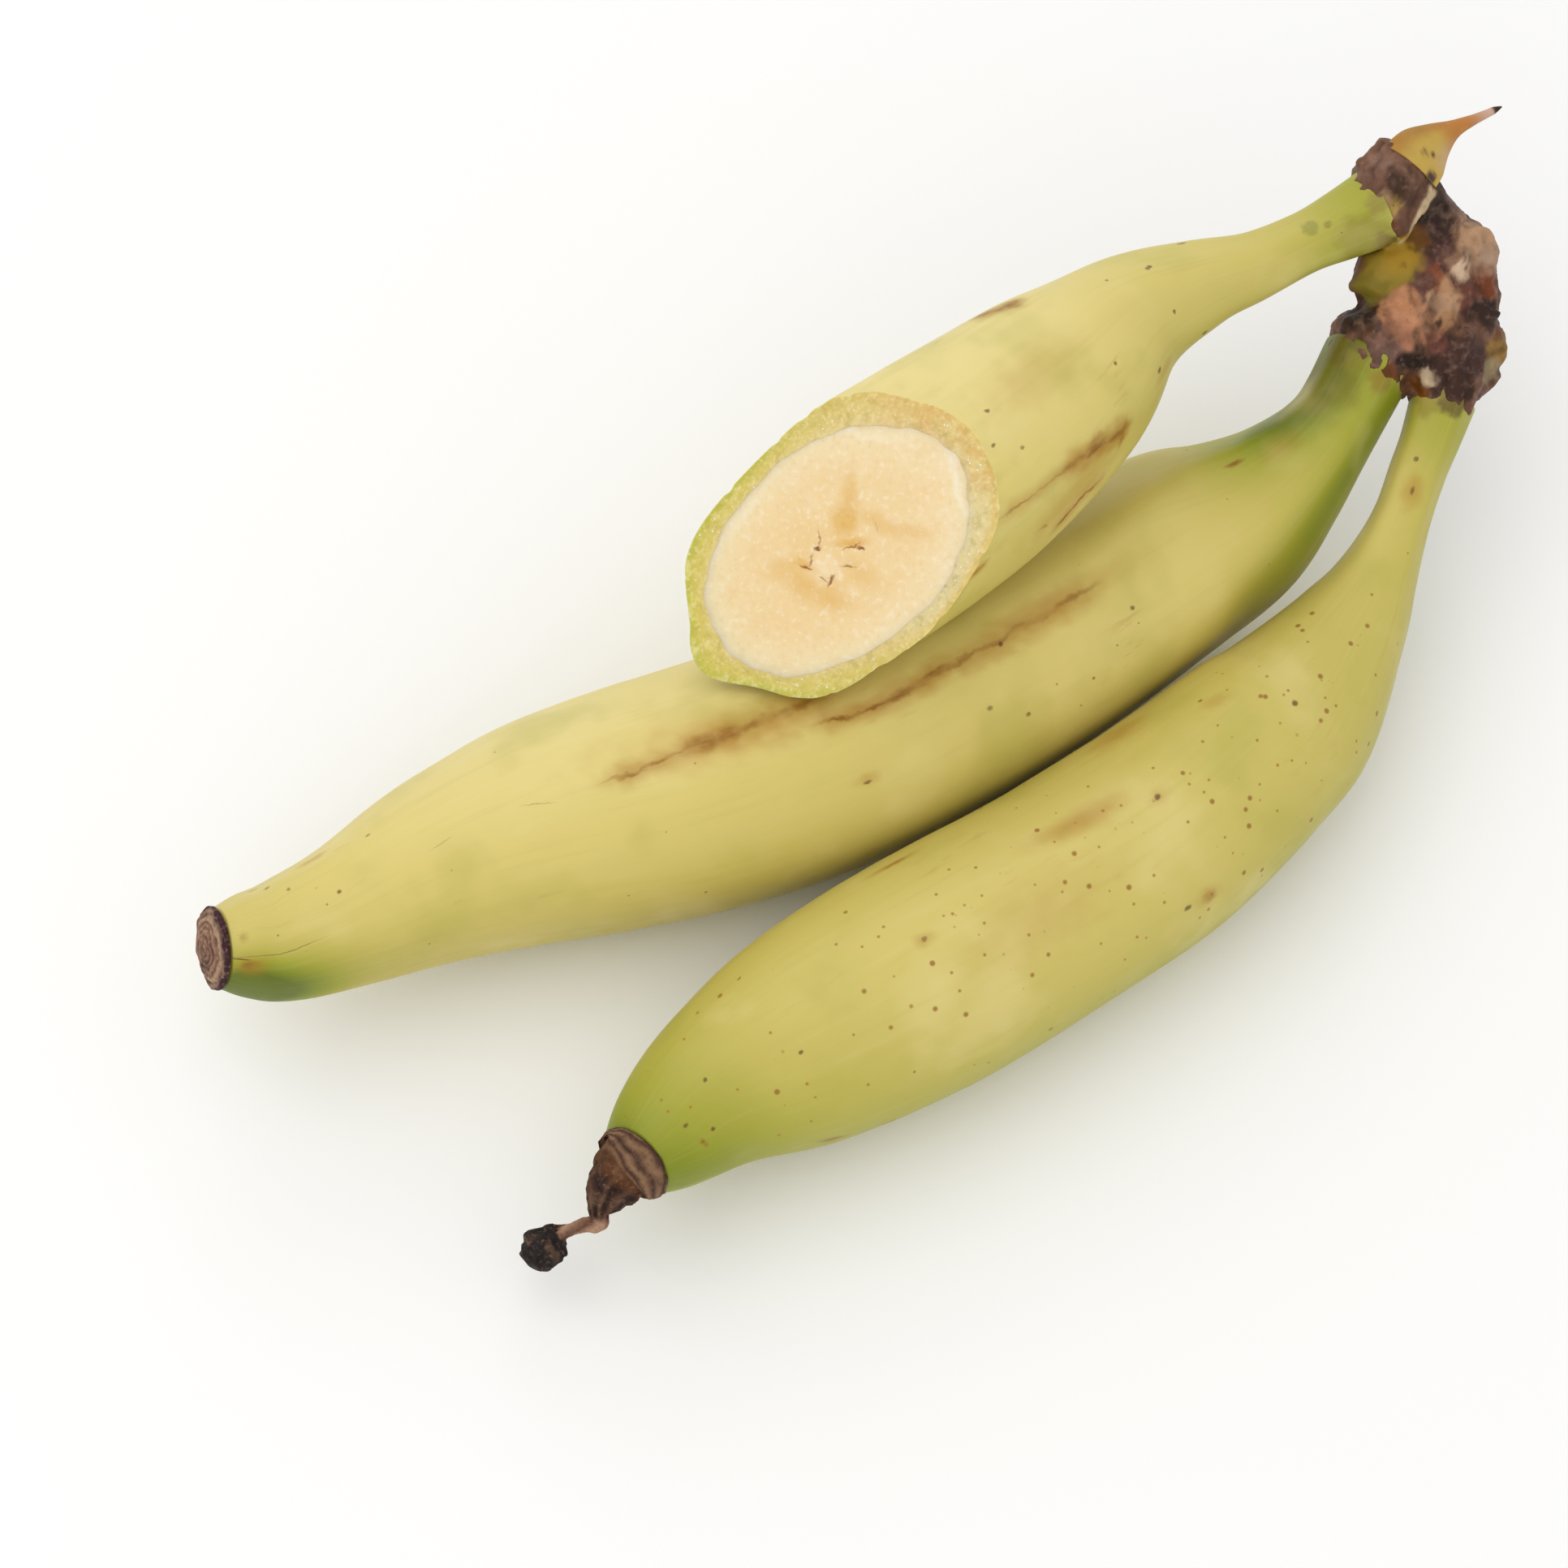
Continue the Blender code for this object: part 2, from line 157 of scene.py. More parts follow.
@dataclass(frozen=True)
class Mark:
    """A stain, scratch or speck on a skin, placed on the unrolled surface."""

    # station number from the neck, and degrees round from the upper side
    along: float
    angle: float
    # half-length along the fruit and half-width round it, in mm
    length: float
    width: float
    turn: float = 0.0
    strength: float = 1.0


@dataclass(frozen=True)
class Trail:
    """A long scar on a skin: a brown line with a tan halo, run through several places."""

    # station number and degrees from the upper side at each place
    places: tuple[tuple[float, float], ...]
    # half-widths in mm of the line and of its halo
    line: float
    halo: float
    strength: float = 1.0

    def marks(self, form: "FruitForm", width: float, fade: float = 1.0) -> list[Mark]:
        """Return the trail as marks that overlap end to end.

        Args:
            form: The fruit's form.
            width: The half-width of the marks in mm.
            fade: What share of the trail's strength the marks have.

        Returns:
            One mark for each stretch between two places.
        """
        found = []
        for (start, low), (end, high) in zip(self.places, self.places[1:]):
            run = form.distance(end) - form.distance(start)
            rise = math.radians(high - low) * form.reach
            turn = math.degrees(math.atan2(rise, run))
            half = 0.6 * math.hypot(run, rise)
            found.append(Mark((start + end) / 2, (low + high) / 2, half, width, turn, self.strength * fade))
        return found


class Paint:
    """A material under construction, with a colour that layers are laid over."""

    def __init__(self, name: str) -> None:
        """Start a material whose tree holds only the surface shader and the output."""
        self.material = bpy.data.materials.new(name)
        self.material.use_nodes = True
        self.tree = self.material.node_tree
        self.tree.nodes.clear()
        self.shader = add_node(self.tree, "ShaderNodeBsdfPrincipled")
        output = add_node(self.tree, "ShaderNodeOutputMaterial")
        self.tree.links.new(self.shader.outputs["BSDF"], output.inputs["Surface"])
        place = add_node(self.tree, "ShaderNodeTexCoord")
        self.object_place = place.outputs["Object"]
        self.height: bpy.types.NodeSocket | None = None
        self.colour: bpy.types.NodeSocket | None = None

    def attribute(self, name: str, output: str = "Fac") -> bpy.types.NodeSocket:
        """Return a socket of a named attribute of the piece."""
        return add_node(self.tree, "ShaderNodeAttribute", attribute_name=name).outputs[output]

    def scaled_place(self, place: bpy.types.NodeSocket, sizes: Point) -> bpy.types.NodeSocket:
        """Return coordinates divided by sizes in mm, so that one pattern cell has that size.

        Args:
            place: Coordinates in metres.
            sizes: The cell size along each axis.

        Returns:
            The scaled coordinates.
        """
        factors = tuple(1.0 / (size * MM) for size in sizes)
        mapping = add_node(self.tree, "ShaderNodeMapping", {"Vector": place, "Scale": factors})
        return mapping.outputs["Vector"]

    def grain(
        self, sizes: Point, detail: float = 3.0, place: bpy.types.NodeSocket | None = None
    ) -> bpy.types.NodeSocket:
        """Return noise of a given cell size.

        Args:
            sizes: The cell size in mm along each axis.
            detail: How many finer layers the noise has.
            place: The coordinates to read, or None for the object's own.

        Returns:
            A value that varies round a half.
        """
        where = self.scaled_place(place or self.object_place, sizes)
        inputs = {"Vector": where, "Scale": 1.0, "Detail": detail}
        return add_node(self.tree, "ShaderNodeTexNoise", inputs).outputs["Fac"]

    def ragged(self, place: bpy.types.NodeSocket, cell: float, push: float) -> bpy.types.NodeSocket:
        """Return coordinates that wander, so that what is drawn on them gets ragged edges.

        Args:
            place: The coordinates in metres.
            cell: The size of the wandering in mm.
            push: How far it goes, in mm.

        Returns:
            The moved coordinates.
        """
        cells = self.scaled_place(self.object_place, (cell, cell, cell))
        inputs = {"Vector": cells, "Scale": 1.0, "Detail": 4.0}
        swirl = add_node(self.tree, "ShaderNodeTexNoise", inputs).outputs["Color"]
        off = add_node(
            self.tree, "ShaderNodeVectorMath", {0: swirl, 1: (0.5, 0.5, 0.5)}, operation="SUBTRACT")
        step = add_node(
            self.tree, "ShaderNodeVectorMath", {0: off.outputs[0], "Scale": 2.0 * push * MM},
            operation="SCALE")
        moved = add_node(self.tree, "ShaderNodeVectorMath", {0: place, 1: step.outputs[0]}, operation="ADD")
        return moved.outputs[0]

    def math(self, operation: str, *values: Any) -> bpy.types.NodeSocket:
        """Return the result of a math operation on sockets or numbers."""
        inputs = dict(enumerate(values))
        return add_node(self.tree, "ShaderNodeMath", inputs, operation=operation).outputs[0]

    def ranged(self, value: Any, low: float, high: float, start: float = 0.0, end: float = 1.0) -> Any:
        """Return a value carried smoothly from one range to another.

        Args:
            value: The socket to carry over.
            low: The value that gives start.
            high: The value that gives end.
            start: The result at low.
            end: The result at high.

        Returns:
            The socket of the result.
        """
        inputs = {"Value": value, "From Min": low, "From Max": high, "To Min": start, "To Max": end}
        node = add_node(self.tree, "ShaderNodeMapRange", inputs, interpolation_type="SMOOTHSTEP")
        return node.outputs["Result"]

    def lay(self, amount: Any, colour: Colour) -> None:
        """Lay a colour over the paint where an amount is above zero.

        Args:
            amount: A socket or number from 0 to 1.
            colour: The colour to lay.
        """
        inputs = {0: amount, 6: self.colour, 7: colour}
        node = add_node(self.tree, "ShaderNodeMix", inputs, data_type="RGBA", clamp_factor=True)
        self.colour = node.outputs[2]

    def raise_by(self, value: Any, height: float) -> None:
        """Add a value times a height in mm to the surface's fine relief."""
        layer = self.math("MULTIPLY", value, height * MM)
        self.height = layer if self.height is None else self.math("ADD", self.height, layer)

    def mark_mask(
        self, marks: Sequence[Mark], place: bpy.types.NodeSocket, locate: Callable[[Mark], Point],
        softness: float
    ) -> bpy.types.NodeSocket:
        """Return a mask that is 1 inside any of the marks.

        Args:
            marks: The marks, all of one colour.
            place: Coordinates on the unrolled surface, in metres.
            locate: Gives a mark's centre on that surface and the share that its width is drawn at.
            softness: How far a mark fades, from 0 for a hard edge to 1.

        Returns:
            The mask's socket.
        """
        total = None
        for mark in marks:
            across, up, stretch = locate(mark)
            sizes = (mark.length * MM, mark.width * stretch * MM, 1.0)
            inputs = {"Vector": place, "Location": (across, up, 0.0), "Scale": sizes,
                      "Rotation": (0.0, 0.0, math.radians(mark.turn))}
            mapping = add_node(self.tree, "ShaderNodeMapping", inputs, vector_type="TEXTURE")
            reach = add_node(
                self.tree, "ShaderNodeVectorMath", {0: mapping.outputs["Vector"]}, operation="LENGTH")
            one = self.ranged(reach.outputs["Value"], 1.0 + softness, 1.0 - softness, 0.0, mark.strength)
            total = one if total is None else self.math("MAXIMUM", total, one)
        return total

    def finish(
        self, roughness: Any, bump: float = 0.0, **constants: Any
    ) -> bpy.types.Material:
        """Join the layers to the shader.

        Args:
            roughness: The roughness, as a number or a socket.
            bump: How strongly the fine relief shows, or 0 for none.
            **constants: Plain values for the shader's sockets, with underscores for spaces.

        Returns:
            The finished material.
        """
        self.tree.links.new(self.colour, self.shader.inputs["Base Color"])
        if isinstance(roughness, bpy.types.NodeSocket):
            self.tree.links.new(roughness, self.shader.inputs["Roughness"])
        else:
            self.shader.inputs["Roughness"].default_value = roughness
        for name, value in constants.items():
            self.shader.inputs[name.replace("_", " ")].default_value = value
        if bump and self.height is not None:
            inputs = {"Height": self.height, "Strength": bump, "Distance": 1.0}
            relief = add_node(self.tree, "ShaderNodeBump", inputs)
            self.tree.links.new(relief.outputs["Normal"], self.shader.inputs["Normal"])
        return self.material


# Surfaces of the fruits.


@dataclass(frozen=True)
class Station:
    """One place on a fruit's curved axis, with the size and shape of the fruit there."""

    x: float
    y: float
    z: float
    half_width: float
    sharpness: float = 4.0
    turn: float = 0.0

    def values(self) -> tuple[float, ...]:
        """Return the station's numbers as one row."""
        return (self.x, self.y, self.z, self.half_width, self.sharpness, self.turn)


@dataclass(frozen=True)
class Tint:
    """A soft patch on a fruit that is riper or greener than the rest; some patches are painted shade."""

    along: float
    angle: float
    # reach in stations and in degrees
    reach: float
    spread: float
    amount: float

    def at(self, along: float, angle: float) -> float:
        """Return how much the patch adds at a place on the fruit."""
        off = (angle - self.angle + 180.0) % 360.0 - 180.0
        return self.amount * math.exp(-((along - self.along) / self.reach) ** 2 - (off / self.spread) ** 2)


class Ring(NamedTuple):
    """A cross-section of a fruit in mm."""

    centre: Vector
    upward: Vector
    sideways: Vector
    radius: float
    sharpness: float
    turn: float
    # how far the ridges have taken the shape that they have at a cut
    cut_share: float

    def across(self, angle: float) -> Vector:
        """Return the direction across the axis at an angle from the upper side."""
        return self.upward * math.cos(angle) + self.sideways * math.sin(angle)


@dataclass
class FruitForm:
    """The curved, softly five-sided form of a fruit."""

    stations: list[Station]
    # uneven ridges at a cut, as degrees and a share of the half-width
    cut_ridges: tuple[tuple[float, float], ...] = ()
    cut_base: float = 0.95
    cut_ridge_width: float = 20.0
    cut_stations: tuple[float, float] = (4.5, 7.0)
    length_steps: int = 8

    @property
    def last(self) -> float:
        """Return the number of the last station."""
        return float(len(self.stations) - 1)

    def row(self, along: float) -> list[float]:
        """Return the smooth row of values at a place along the fruit.

        Args:
            along: The station number, with a fraction.

        Returns:
            The centre, half-width, sharpness and turn there.
        """
        span = min(int(max(along, 0.0)), len(self.stations) - 2)
        t = along - span
        here = self.stations[span].values()
        there = self.stations[span + 1].values()
        before = self.stations[max(span - 1, 0)].values()
        after = self.stations[min(span + 2, len(self.stations) - 1)].values()
        row = []
        for a, b, c, d in zip(before, here, there, after):
            bend = (2 * a - 5 * b + 4 * c - d) * t ** 2
            twist = (3 * b - a - 3 * c + d) * t ** 3
            row.append(0.5 * (2 * b + (c - a) * t + bend + twist))
        return row

    def ring(self, along: float) -> Ring:
        """Return the ring at a place along the fruit."""
        row = self.row(along)
        step = 0.25
        ahead = Vector(self.row(min(along + step, self.last))[:3])
        behind = Vector(self.row(max(along - step, 0.0))[:3])
        heading = (ahead - behind).normalized()
        sideways = heading.cross(UPPER_SIDE).normalized()
        upward = sideways.cross(heading).normalized()
        share = 0.0
        if self.cut_ridges:
            start, end = self.cut_stations
            share = min(1.0, max(0.0, (along - start) / (end - start)))
        return Ring(Vector(row[:3]), upward, sideways, row[3], row[4], math.radians(row[5]), share)

    def cut_radius(self, angle: float) -> float:
        """Return the relative radius of the section at the cut."""
        total = self.cut_base
        for ridge, height in self.cut_ridges:
            off = (math.degrees(angle) - ridge + 180.0) % 360.0 - 180.0
            total += height * math.exp(-((off / self.cut_ridge_width) ** 2))
        return total

    def on_ring(self, ring: Ring, angle: float) -> Vector:
        """Return a point of a ring.

        Args:
            ring: The cross-section.
            angle: The angle round the fruit in radians, from the upper side.

        Returns:
            The point in mm.
        """
        total = 0.0
        for facet in range(RIDGE_COUNT):
            facing = math.cos(angle - ring.turn - facet * math.tau / RIDGE_COUNT)
            if facing > 0.0:
                total += facing ** ring.sharpness
        relative = total ** (-1.0 / ring.sharpness)
        if ring.cut_share:
            relative += (self.cut_radius(angle) - relative) * ring.cut_share
        return ring.centre + ring.across(angle) * ring.radius * relative

    def point(self, along: float, angle: float) -> Vector:
        """Return a point of the fruit's surface in mm."""
        return self.on_ring(self.ring(along), angle)

    @cached_property
    def reach(self) -> float:
        """Return the half-width in mm that the unrolled skin is drawn at."""
        return max(station.half_width for station in self.stations)

    @cached_property
    def lengths(self) -> list[float]:
        """Return the distance along the axis at each step, in mm."""
        total = 0.0
        found = [0.0]
        previous = Vector(self.row(0.0)[:3])
        for step in range(1, int(self.last * self.length_steps) + 1):
            centre = Vector(self.row(step / self.length_steps)[:3])
            total += (centre - previous).length
            found.append(total)
            previous = centre
        return found

    def distance(self, along: float) -> float:
        """Return the distance along the axis from the neck, in mm."""
        step = min(max(along, 0.0), self.last) * self.length_steps
        low = min(int(step), len(self.lengths) - 2)
        return self.lengths[low] + (self.lengths[low + 1] - self.lengths[low]) * (step - low)


def soft_noise(point: Vector, size: float, seed: float = 0.0) -> float:
    """Return noise from about -1 to 1 with cells of a size in mm."""
    return noise.noise(point / size + Vector((seed, seed * 1.7, -seed)))


def new_grid(
    rows: int, columns: int, map_name: str = "skin"
) -> tuple[bmesh.types.BMesh, list[tuple[float, float]]]:
    """Make a grid whose places run from 0 to 1 both ways.

    Args:
        rows: Number of steps along.
        columns: Number of steps round.
        map_name: The name of its UV map.

    Returns:
        The bmesh, and each vertex's place on the grid.
    """
    bm = bmesh.new()
    bm.loops.layers.uv.new(map_name)
    bmesh.ops.create_grid(bm, x_segments=rows, y_segments=columns, size=0.5, calc_uvs=True)
    bm.verts.ensure_lookup_table()
    return bm, [(vert.co.x + 0.5, vert.co.y + 0.5) for vert in bm.verts]


def new_dried_grid(
    rows: int, columns: int
) -> tuple[bmesh.types.BMesh, list[tuple[float, float]], Any, Any]:
    """Make a grid with the layers that a rough finish reads.

    Args:
        rows: Number of steps along.
        columns: Number of steps round.

    Returns:
        The bmesh, each vertex's place on the grid, and the layers of its tones and dryness.
    """
    bm, places = new_grid(rows, columns)
    tones = bm.verts.layers.float_color.new("tone")
    dryness = bm.verts.layers.float.new("dryness")
    return bm, places, tones, dryness


def close_up(bm: bmesh.types.BMesh, merge: float = 0.0005) -> None:
    """Merge the seam, fill open ends and turn the faces outward.

    Args:
        bm: The mesh in metres.
        merge: Distance in mm under which points are merged.
    """
    bmesh.ops.remove_doubles(bm, verts=bm.verts, dist=merge * MM)
    bmesh.ops.holes_fill(bm, edges=[edge for edge in bm.edges if edge.is_boundary], sides=0)
    bmesh.ops.recalc_face_normals(bm, faces=bm.faces)


def sharpen(bm: bmesh.types.BMesh, angle: float = 0.7) -> None:
    """Keep the shading crisp at edges where faces meet at more than an angle in radians."""
    for edge in bm.edges:
        edge.smooth = len(edge.link_faces) != 2 or edge.calc_face_angle() < angle


def place_piece(
    bm: bmesh.types.BMesh, name: str, materials: Sequence[bpy.types.Material], slot: Slot,
    *nodes: str
) -> bpy.types.Object:
    """Turn a bmesh into a smooth piece that rides on the body and stands for CAD nodes.

    Args:
        bm: The mesh in metres, in the shared frame.
        name: The piece's name.
        materials: Its materials, in the order of the faces' numbers.
        slot: The record's material slot; not used.
        *nodes: The CAD nodes that it replaces.

    Returns:
        The new object.
    """
    mesh = bpy.data.meshes.new(name)
    bm.to_mesh(mesh)
    bm.free()
    mesh.shade_smooth()
    for material in materials:
        mesh.materials.append(material)
    piece = bpy.data.objects.new(name, mesh)
    bpy.context.scene.collection.objects.link(piece)
    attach(piece, BODY)
    if nodes:
        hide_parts(*nodes)
    triangles = sum(len(face.vertices) - 2 for face in mesh.polygons)
    LOG.info("%s: %d triangles", name, triangles)
    return piece


# Finishes of the fruits.


@dataclass(frozen=True)
class SkinFinish:
    """Waxy skin that shades from green to pale yellow, with stains, scratches and freckles."""

    name: str
    trails: tuple[Trail, ...] = ()
    stains: tuple[Mark, ...] = ()
    streaks: tuple[Mark, ...] = ()
    specks: tuple[Mark, ...] = ()
    freckle_size: float = 0.55
    freckle_cell: float = 5.0
    scuffing: float = 0.35
    stain_colour: str = "#ac7616"

    GREEN_TO_YELLOW = ("#5f6d08", "#7f8a16", "#a3a235", "#c1b458", "#dbc976", "#ecdc9a")

    def tone(self, ripeness: float) -> Colour:
        """Return the skin's colour at a ripeness from 0, deep green, to 1, pale yellow."""
        steps = len(self.GREEN_TO_YELLOW) - 1
        place = min(0.9999, max(0.0, ripeness)) * steps
        low = int(place)
        first = linear(self.GREEN_TO_YELLOW[low])
        second = linear(self.GREEN_TO_YELLOW[low + 1])
        return blend_colours(first, second, place - low)

    def halos(self, form: FruitForm) -> list[Mark]:
        """Return the soft tan marks, the trails' halos among them."""
        found = list(self.stains)
        for trail in self.trails:
            found += trail.marks(form, trail.halo, 0.8)
        return found

    def make(self, form: FruitForm) -> bpy.types.Material:
        """Make the material for a fruit.

        Args:
            form: The fruit's form, which places the marks.

        Returns:
            The material.
        """
        paint = Paint(self.name)
        unrolled = add_node(paint.tree, "ShaderNodeUVMap", uv_map="skin").outputs["UV"]
        flow = paint.attribute("flow", "Vector")
        paint.colour = paint.attribute("tone", "Color")
        # cloudy ripening, which keeps large areas from looking flat
        clouds = paint.grain((28.0, 28.0, 28.0), 3.0)
        paint.lay(paint.ranged(clouds, 0.52, 0.75, 0.0, 0.45), linear("#e6d591"))
        paint.lay(paint.ranged(clouds, 0.48, 0.28, 0.0, 0.35), linear("#a9a540"))
        # very faint fibres that run along the fruit
        fibres = paint.grain((34.0, 2.2, 2.2), 3.0, flow)
        paint.lay(paint.ranged(fibres, 0.5, 0.8, 0.0, 0.06), linear("#efe2ab"))
        paint.lay(paint.ranged(fibres, 0.48, 0.2, 0.0, 0.10), linear("#9b9a3c"))
        # pale tan scuffs in loose groups
        scuffs = paint.math(
            "MULTIPLY", paint.ranged(paint.grain((24.0, 12.0, 12.0), 2.0, flow), 0.58, 0.72),
            paint.ranged(paint.grain((6.0, 1.6, 1.6), 4.0, flow), 0.54, 0.68))
        paint.lay(paint.math("MULTIPLY", scuffs, self.scuffing), linear("#bb9450"))
        self.lay_marks(paint, form, unrolled)
        self.lay_freckles(paint)
        pores = paint.grain((0.9, 0.9, 0.9), 2.0)
        paint.raise_by(pores, 0.04)
        paint.raise_by(fibres, 0.05)
        rough = paint.ranged(paint.grain((9.0, 9.0, 9.0), 4.0), 0.3, 0.7, 0.38, 0.50)
        return paint.finish(rough, 0.6, Specular_IOR_Level=0.30)

    def lay_marks(
        self, paint: Paint, form: FruitForm, unrolled: bpy.types.NodeSocket
    ) -> None:
        """Lay the placed marks over the skin.

        Args:
            paint: The material under construction.
            form: The fruit's form, which places the marks.
            unrolled: Coordinates on the unrolled skin.
        """
        ragged = paint.ragged(paint.ragged(unrolled, 5.0, 1.5), 1.5, 0.6)
        finely_ragged = paint.ragged(unrolled, 0.9, 0.35)

        def locate(mark: Mark) -> Point:
            """Return a mark's centre on the unrolled skin and its width's share."""
            up = math.radians(mark.angle) * form.reach
            return form.distance(mark.along) * MM, up * MM, form.reach / form.row(mark.along)[3]

        lines = list(self.streaks)
        for trail in self.trails:
            lines += trail.marks(form, trail.line)
        patchy = paint.grain((6.0, 2.4, 2.4), 4.0, paint.attribute("flow", "Vector"))
        layers = (
            (lines, "#8a5a0a", 0.85, 0.92, 0.35, ragged),
            (self.specks, "#5a3008", 0.5, 0.80, 0.7, finely_ragged),
        )
        for marks, colour, softness, strength, least, place in layers:
            if not marks:
                continue
            mask = paint.mark_mask(marks, place, locate, softness)
            breakup = paint.ranged(patchy, 0.36, 0.60, least, 1.0)
            amount = paint.math("MULTIPLY", paint.math("MULTIPLY", mask, breakup), strength)
            paint.lay(amount, linear(colour))
            paint.raise_by(amount, -0.06)

    def lay_freckles(self, paint: Paint) -> None:
        """Lay small brown freckles where the piece's freckle attribute asks for them."""
        wanted = paint.attribute("freckles")
        for cell, size, share, colour in (
            (self.freckle_cell, self.freckle_size, 0.55, "#8e5614"),
            (self.freckle_cell * 0.62, self.freckle_size * 0.6, 0.6, "#a06c20"),
        ):
            where = paint.scaled_place(paint.object_place, (cell, cell, cell))
            cells = add_node(
                paint.tree, "ShaderNodeTexVoronoi", {"Vector": where, "Scale": 1.0, "Randomness": 1.0})
            near = paint.ranged(cells.outputs["Distance"], 1.25 * size / cell, 0.6 * size / cell)
            chance = add_node(paint.tree, "ShaderNodeSeparateColor", {0: cells.outputs["Color"]})
            limit = paint.math("MULTIPLY", wanted, share)
            chosen = paint.math("LESS_THAN", chance.outputs[0], limit)
            amount = paint.math("MULTIPLY", near, chosen)
            paint.lay(paint.math("MULTIPLY", amount, 0.78), linear(colour))


@dataclass
class SkinPainter:
    """Colours a fruit's points by their place on it."""

    form: FruitForm
    finish: SkinFinish
    ripeness: float
    tints: list[Tint]
    freckles: list[Tint]
    # stains on the neck where the crown's bark runs onto the skin
    bark: tuple["Patch", ...] = ()

    def prepare(self, bm: bmesh.types.BMesh) -> None:
        """Add the layers that the skin's material reads."""
        bm.verts.layers.float_color.new("tone")
        bm.verts.layers.float.new("freckles")
        bm.verts.layers.float_vector.new("flow")
        self.halos = [(self.form.distance(mark.along), mark) for mark in self.finish.halos(self.form)]

    def paint(self, bm: bmesh.types.BMesh, vert: bmesh.types.BMVert, along: float, angle: float) -> None:
        """Set one point's layers.

        Args:
            bm: The mesh that the point is in.
            vert: The point, already in its place.
            along: Its station number.
            angle: Its angle round the fruit, in radians.
        """
        degrees = math.degrees(angle)
        # the tints add riper and greener patches, and painted shade where some of them darken the skin
        ripeness_and_shade = self.ripeness + sum(tint.at(along, degrees) for tint in self.tints)
        wanted = sum(tint.at(along, degrees) for tint in self.freckles)
        far = self.form.distance(along)
        reach = self.form.reach
        radius = self.form.row(along)[3]
        point = vert.co / MM
        tone = self.stain(self.finish.tone(ripeness_and_shade), point, far, degrees, self.form.reach / radius)
        for patch in self.bark:
            tone = blend_colours(tone, linear(patch.colour), patch.cover(point))
        vert[bm.verts.layers.float_color["tone"]] = tone
        vert[bm.verts.layers.float["freckles"]] = wanted
        vert[bm.verts.layers.float_vector["flow"]] = (
            far * MM, reach * math.cos(angle) * MM, reach * math.sin(angle) * MM)

    def stain(self, tone: Colour, point: Vector, far: float, degrees: float, stretch: float) -> Colour:
        """Return a skin colour with the soft tan marks laid over it.

        Args:
            tone: The clean skin's colour.
            point: The place in mm.
            far: The distance along the fruit in mm.
            degrees: The angle from the upper side.
            stretch: How much wider than the fruit its unrolled skin is drawn there.

        Returns:
            The stained colour.
        """
        for centre, mark in self.halos:
            run = far - centre
            if abs(run) > 2.0 * (mark.length + mark.width):
                continue
            off = (degrees - mark.angle + 180.0) % 360.0 - 180.0
            rise = math.radians(off) * self.form.reach
            turn = math.radians(mark.turn)
            along = (run * math.cos(turn) + rise * math.sin(turn)) / mark.length
            across = (rise * math.cos(turn) - run * math.sin(turn)) / (mark.width * stretch)
            reach = math.hypot(along, across)
            if reach < 2.5:
                reach += 0.35 * soft_noise(point, 4.0, 1.0) + 0.25 * soft_noise(point, 1.8, 6.0)
                amount = 0.85 * mark.strength * ease(1.9, 0.1, reach)
                tone = blend_colours(tone, linear(self.finish.stain_colour), amount)
        return tone

    def unroll(self, bm: bmesh.types.BMesh, along_of: Callable[[float, float], float]) -> None:
        """Turn the grid's own UV map into distances on the unrolled skin.

        Args:
            bm: The mesh, whose UV map still runs from 0 to 1 both ways.
            along_of: Gives the station number from the two grid shares.
        """
        layer = bm.loops.layers.uv.active
        reach = self.form.reach
        for face in bm.faces:
            for loop in face.loops:
                share, turn = loop[layer].uv
                far = self.form.distance(along_of(share, turn))
                loop[layer].uv = (far * MM, (turn - 0.5) * math.tau * reach * MM)


@dataclass
class WholeFruit:
    """A whole fruit with its skin."""

    name: str
    node: str
    painter: SkinPainter
    rows_per_span: int = 15
    columns: int = 190
    wave_height: float = 0.35

    def build(self) -> bpy.types.Object:
        """Build the fruit.

        Returns:
            The fruit's object.
        """
        form = self.painter.form
        rows = int(form.last * self.rows_per_span)
        bm, places = new_grid(rows, self.columns)
        self.painter.prepare(bm)
        rings = {}
        for vert, (share, turn) in zip(bm.verts, places):
            key = round(share * rows)
            if key not in rings:
                rings[key] = form.ring(share * form.last)
            angle = (turn - 0.5) * math.tau
            point = form.on_ring(rings[key], angle)
            point = self.weather(point, rings[key].centre, share * form.last)
            vert.co = point * MM
            self.painter.paint(bm, vert, share * form.last, angle)
        self.painter.unroll(bm, lambda share, turn: share * form.last)
        close_up(bm)
        material = self.painter.finish.make(form)
        piece = place_piece(bm, self.name, [material], Slot.SKIN, self.node)
        return piece

    def weather(self, point: Vector, centre: Vector, along: float) -> Vector:
        """Press soft waves into the skin and flatten it where it rests.

        Args:
            point: A point of the smooth form, in mm.
            centre: The middle of the fruit there.
            along: The station number.

        Returns:
            The weathered point in mm.
        """
        inward = (centre - point).normalized()
        wave = 0.5 + 0.5 * soft_noise(point, 17.0, 3.0)
        dent = 0.5 + 0.5 * soft_noise(point, 6.0, 7.0)
        calm = ease(0.0, 2.0, along) * 0.7 + 0.3
        moved = point + inward * (wave * self.wave_height + dent * 0.10) * calm
        moved.z = max(moved.z, 0.0)
        return moved


# The cut fruit.


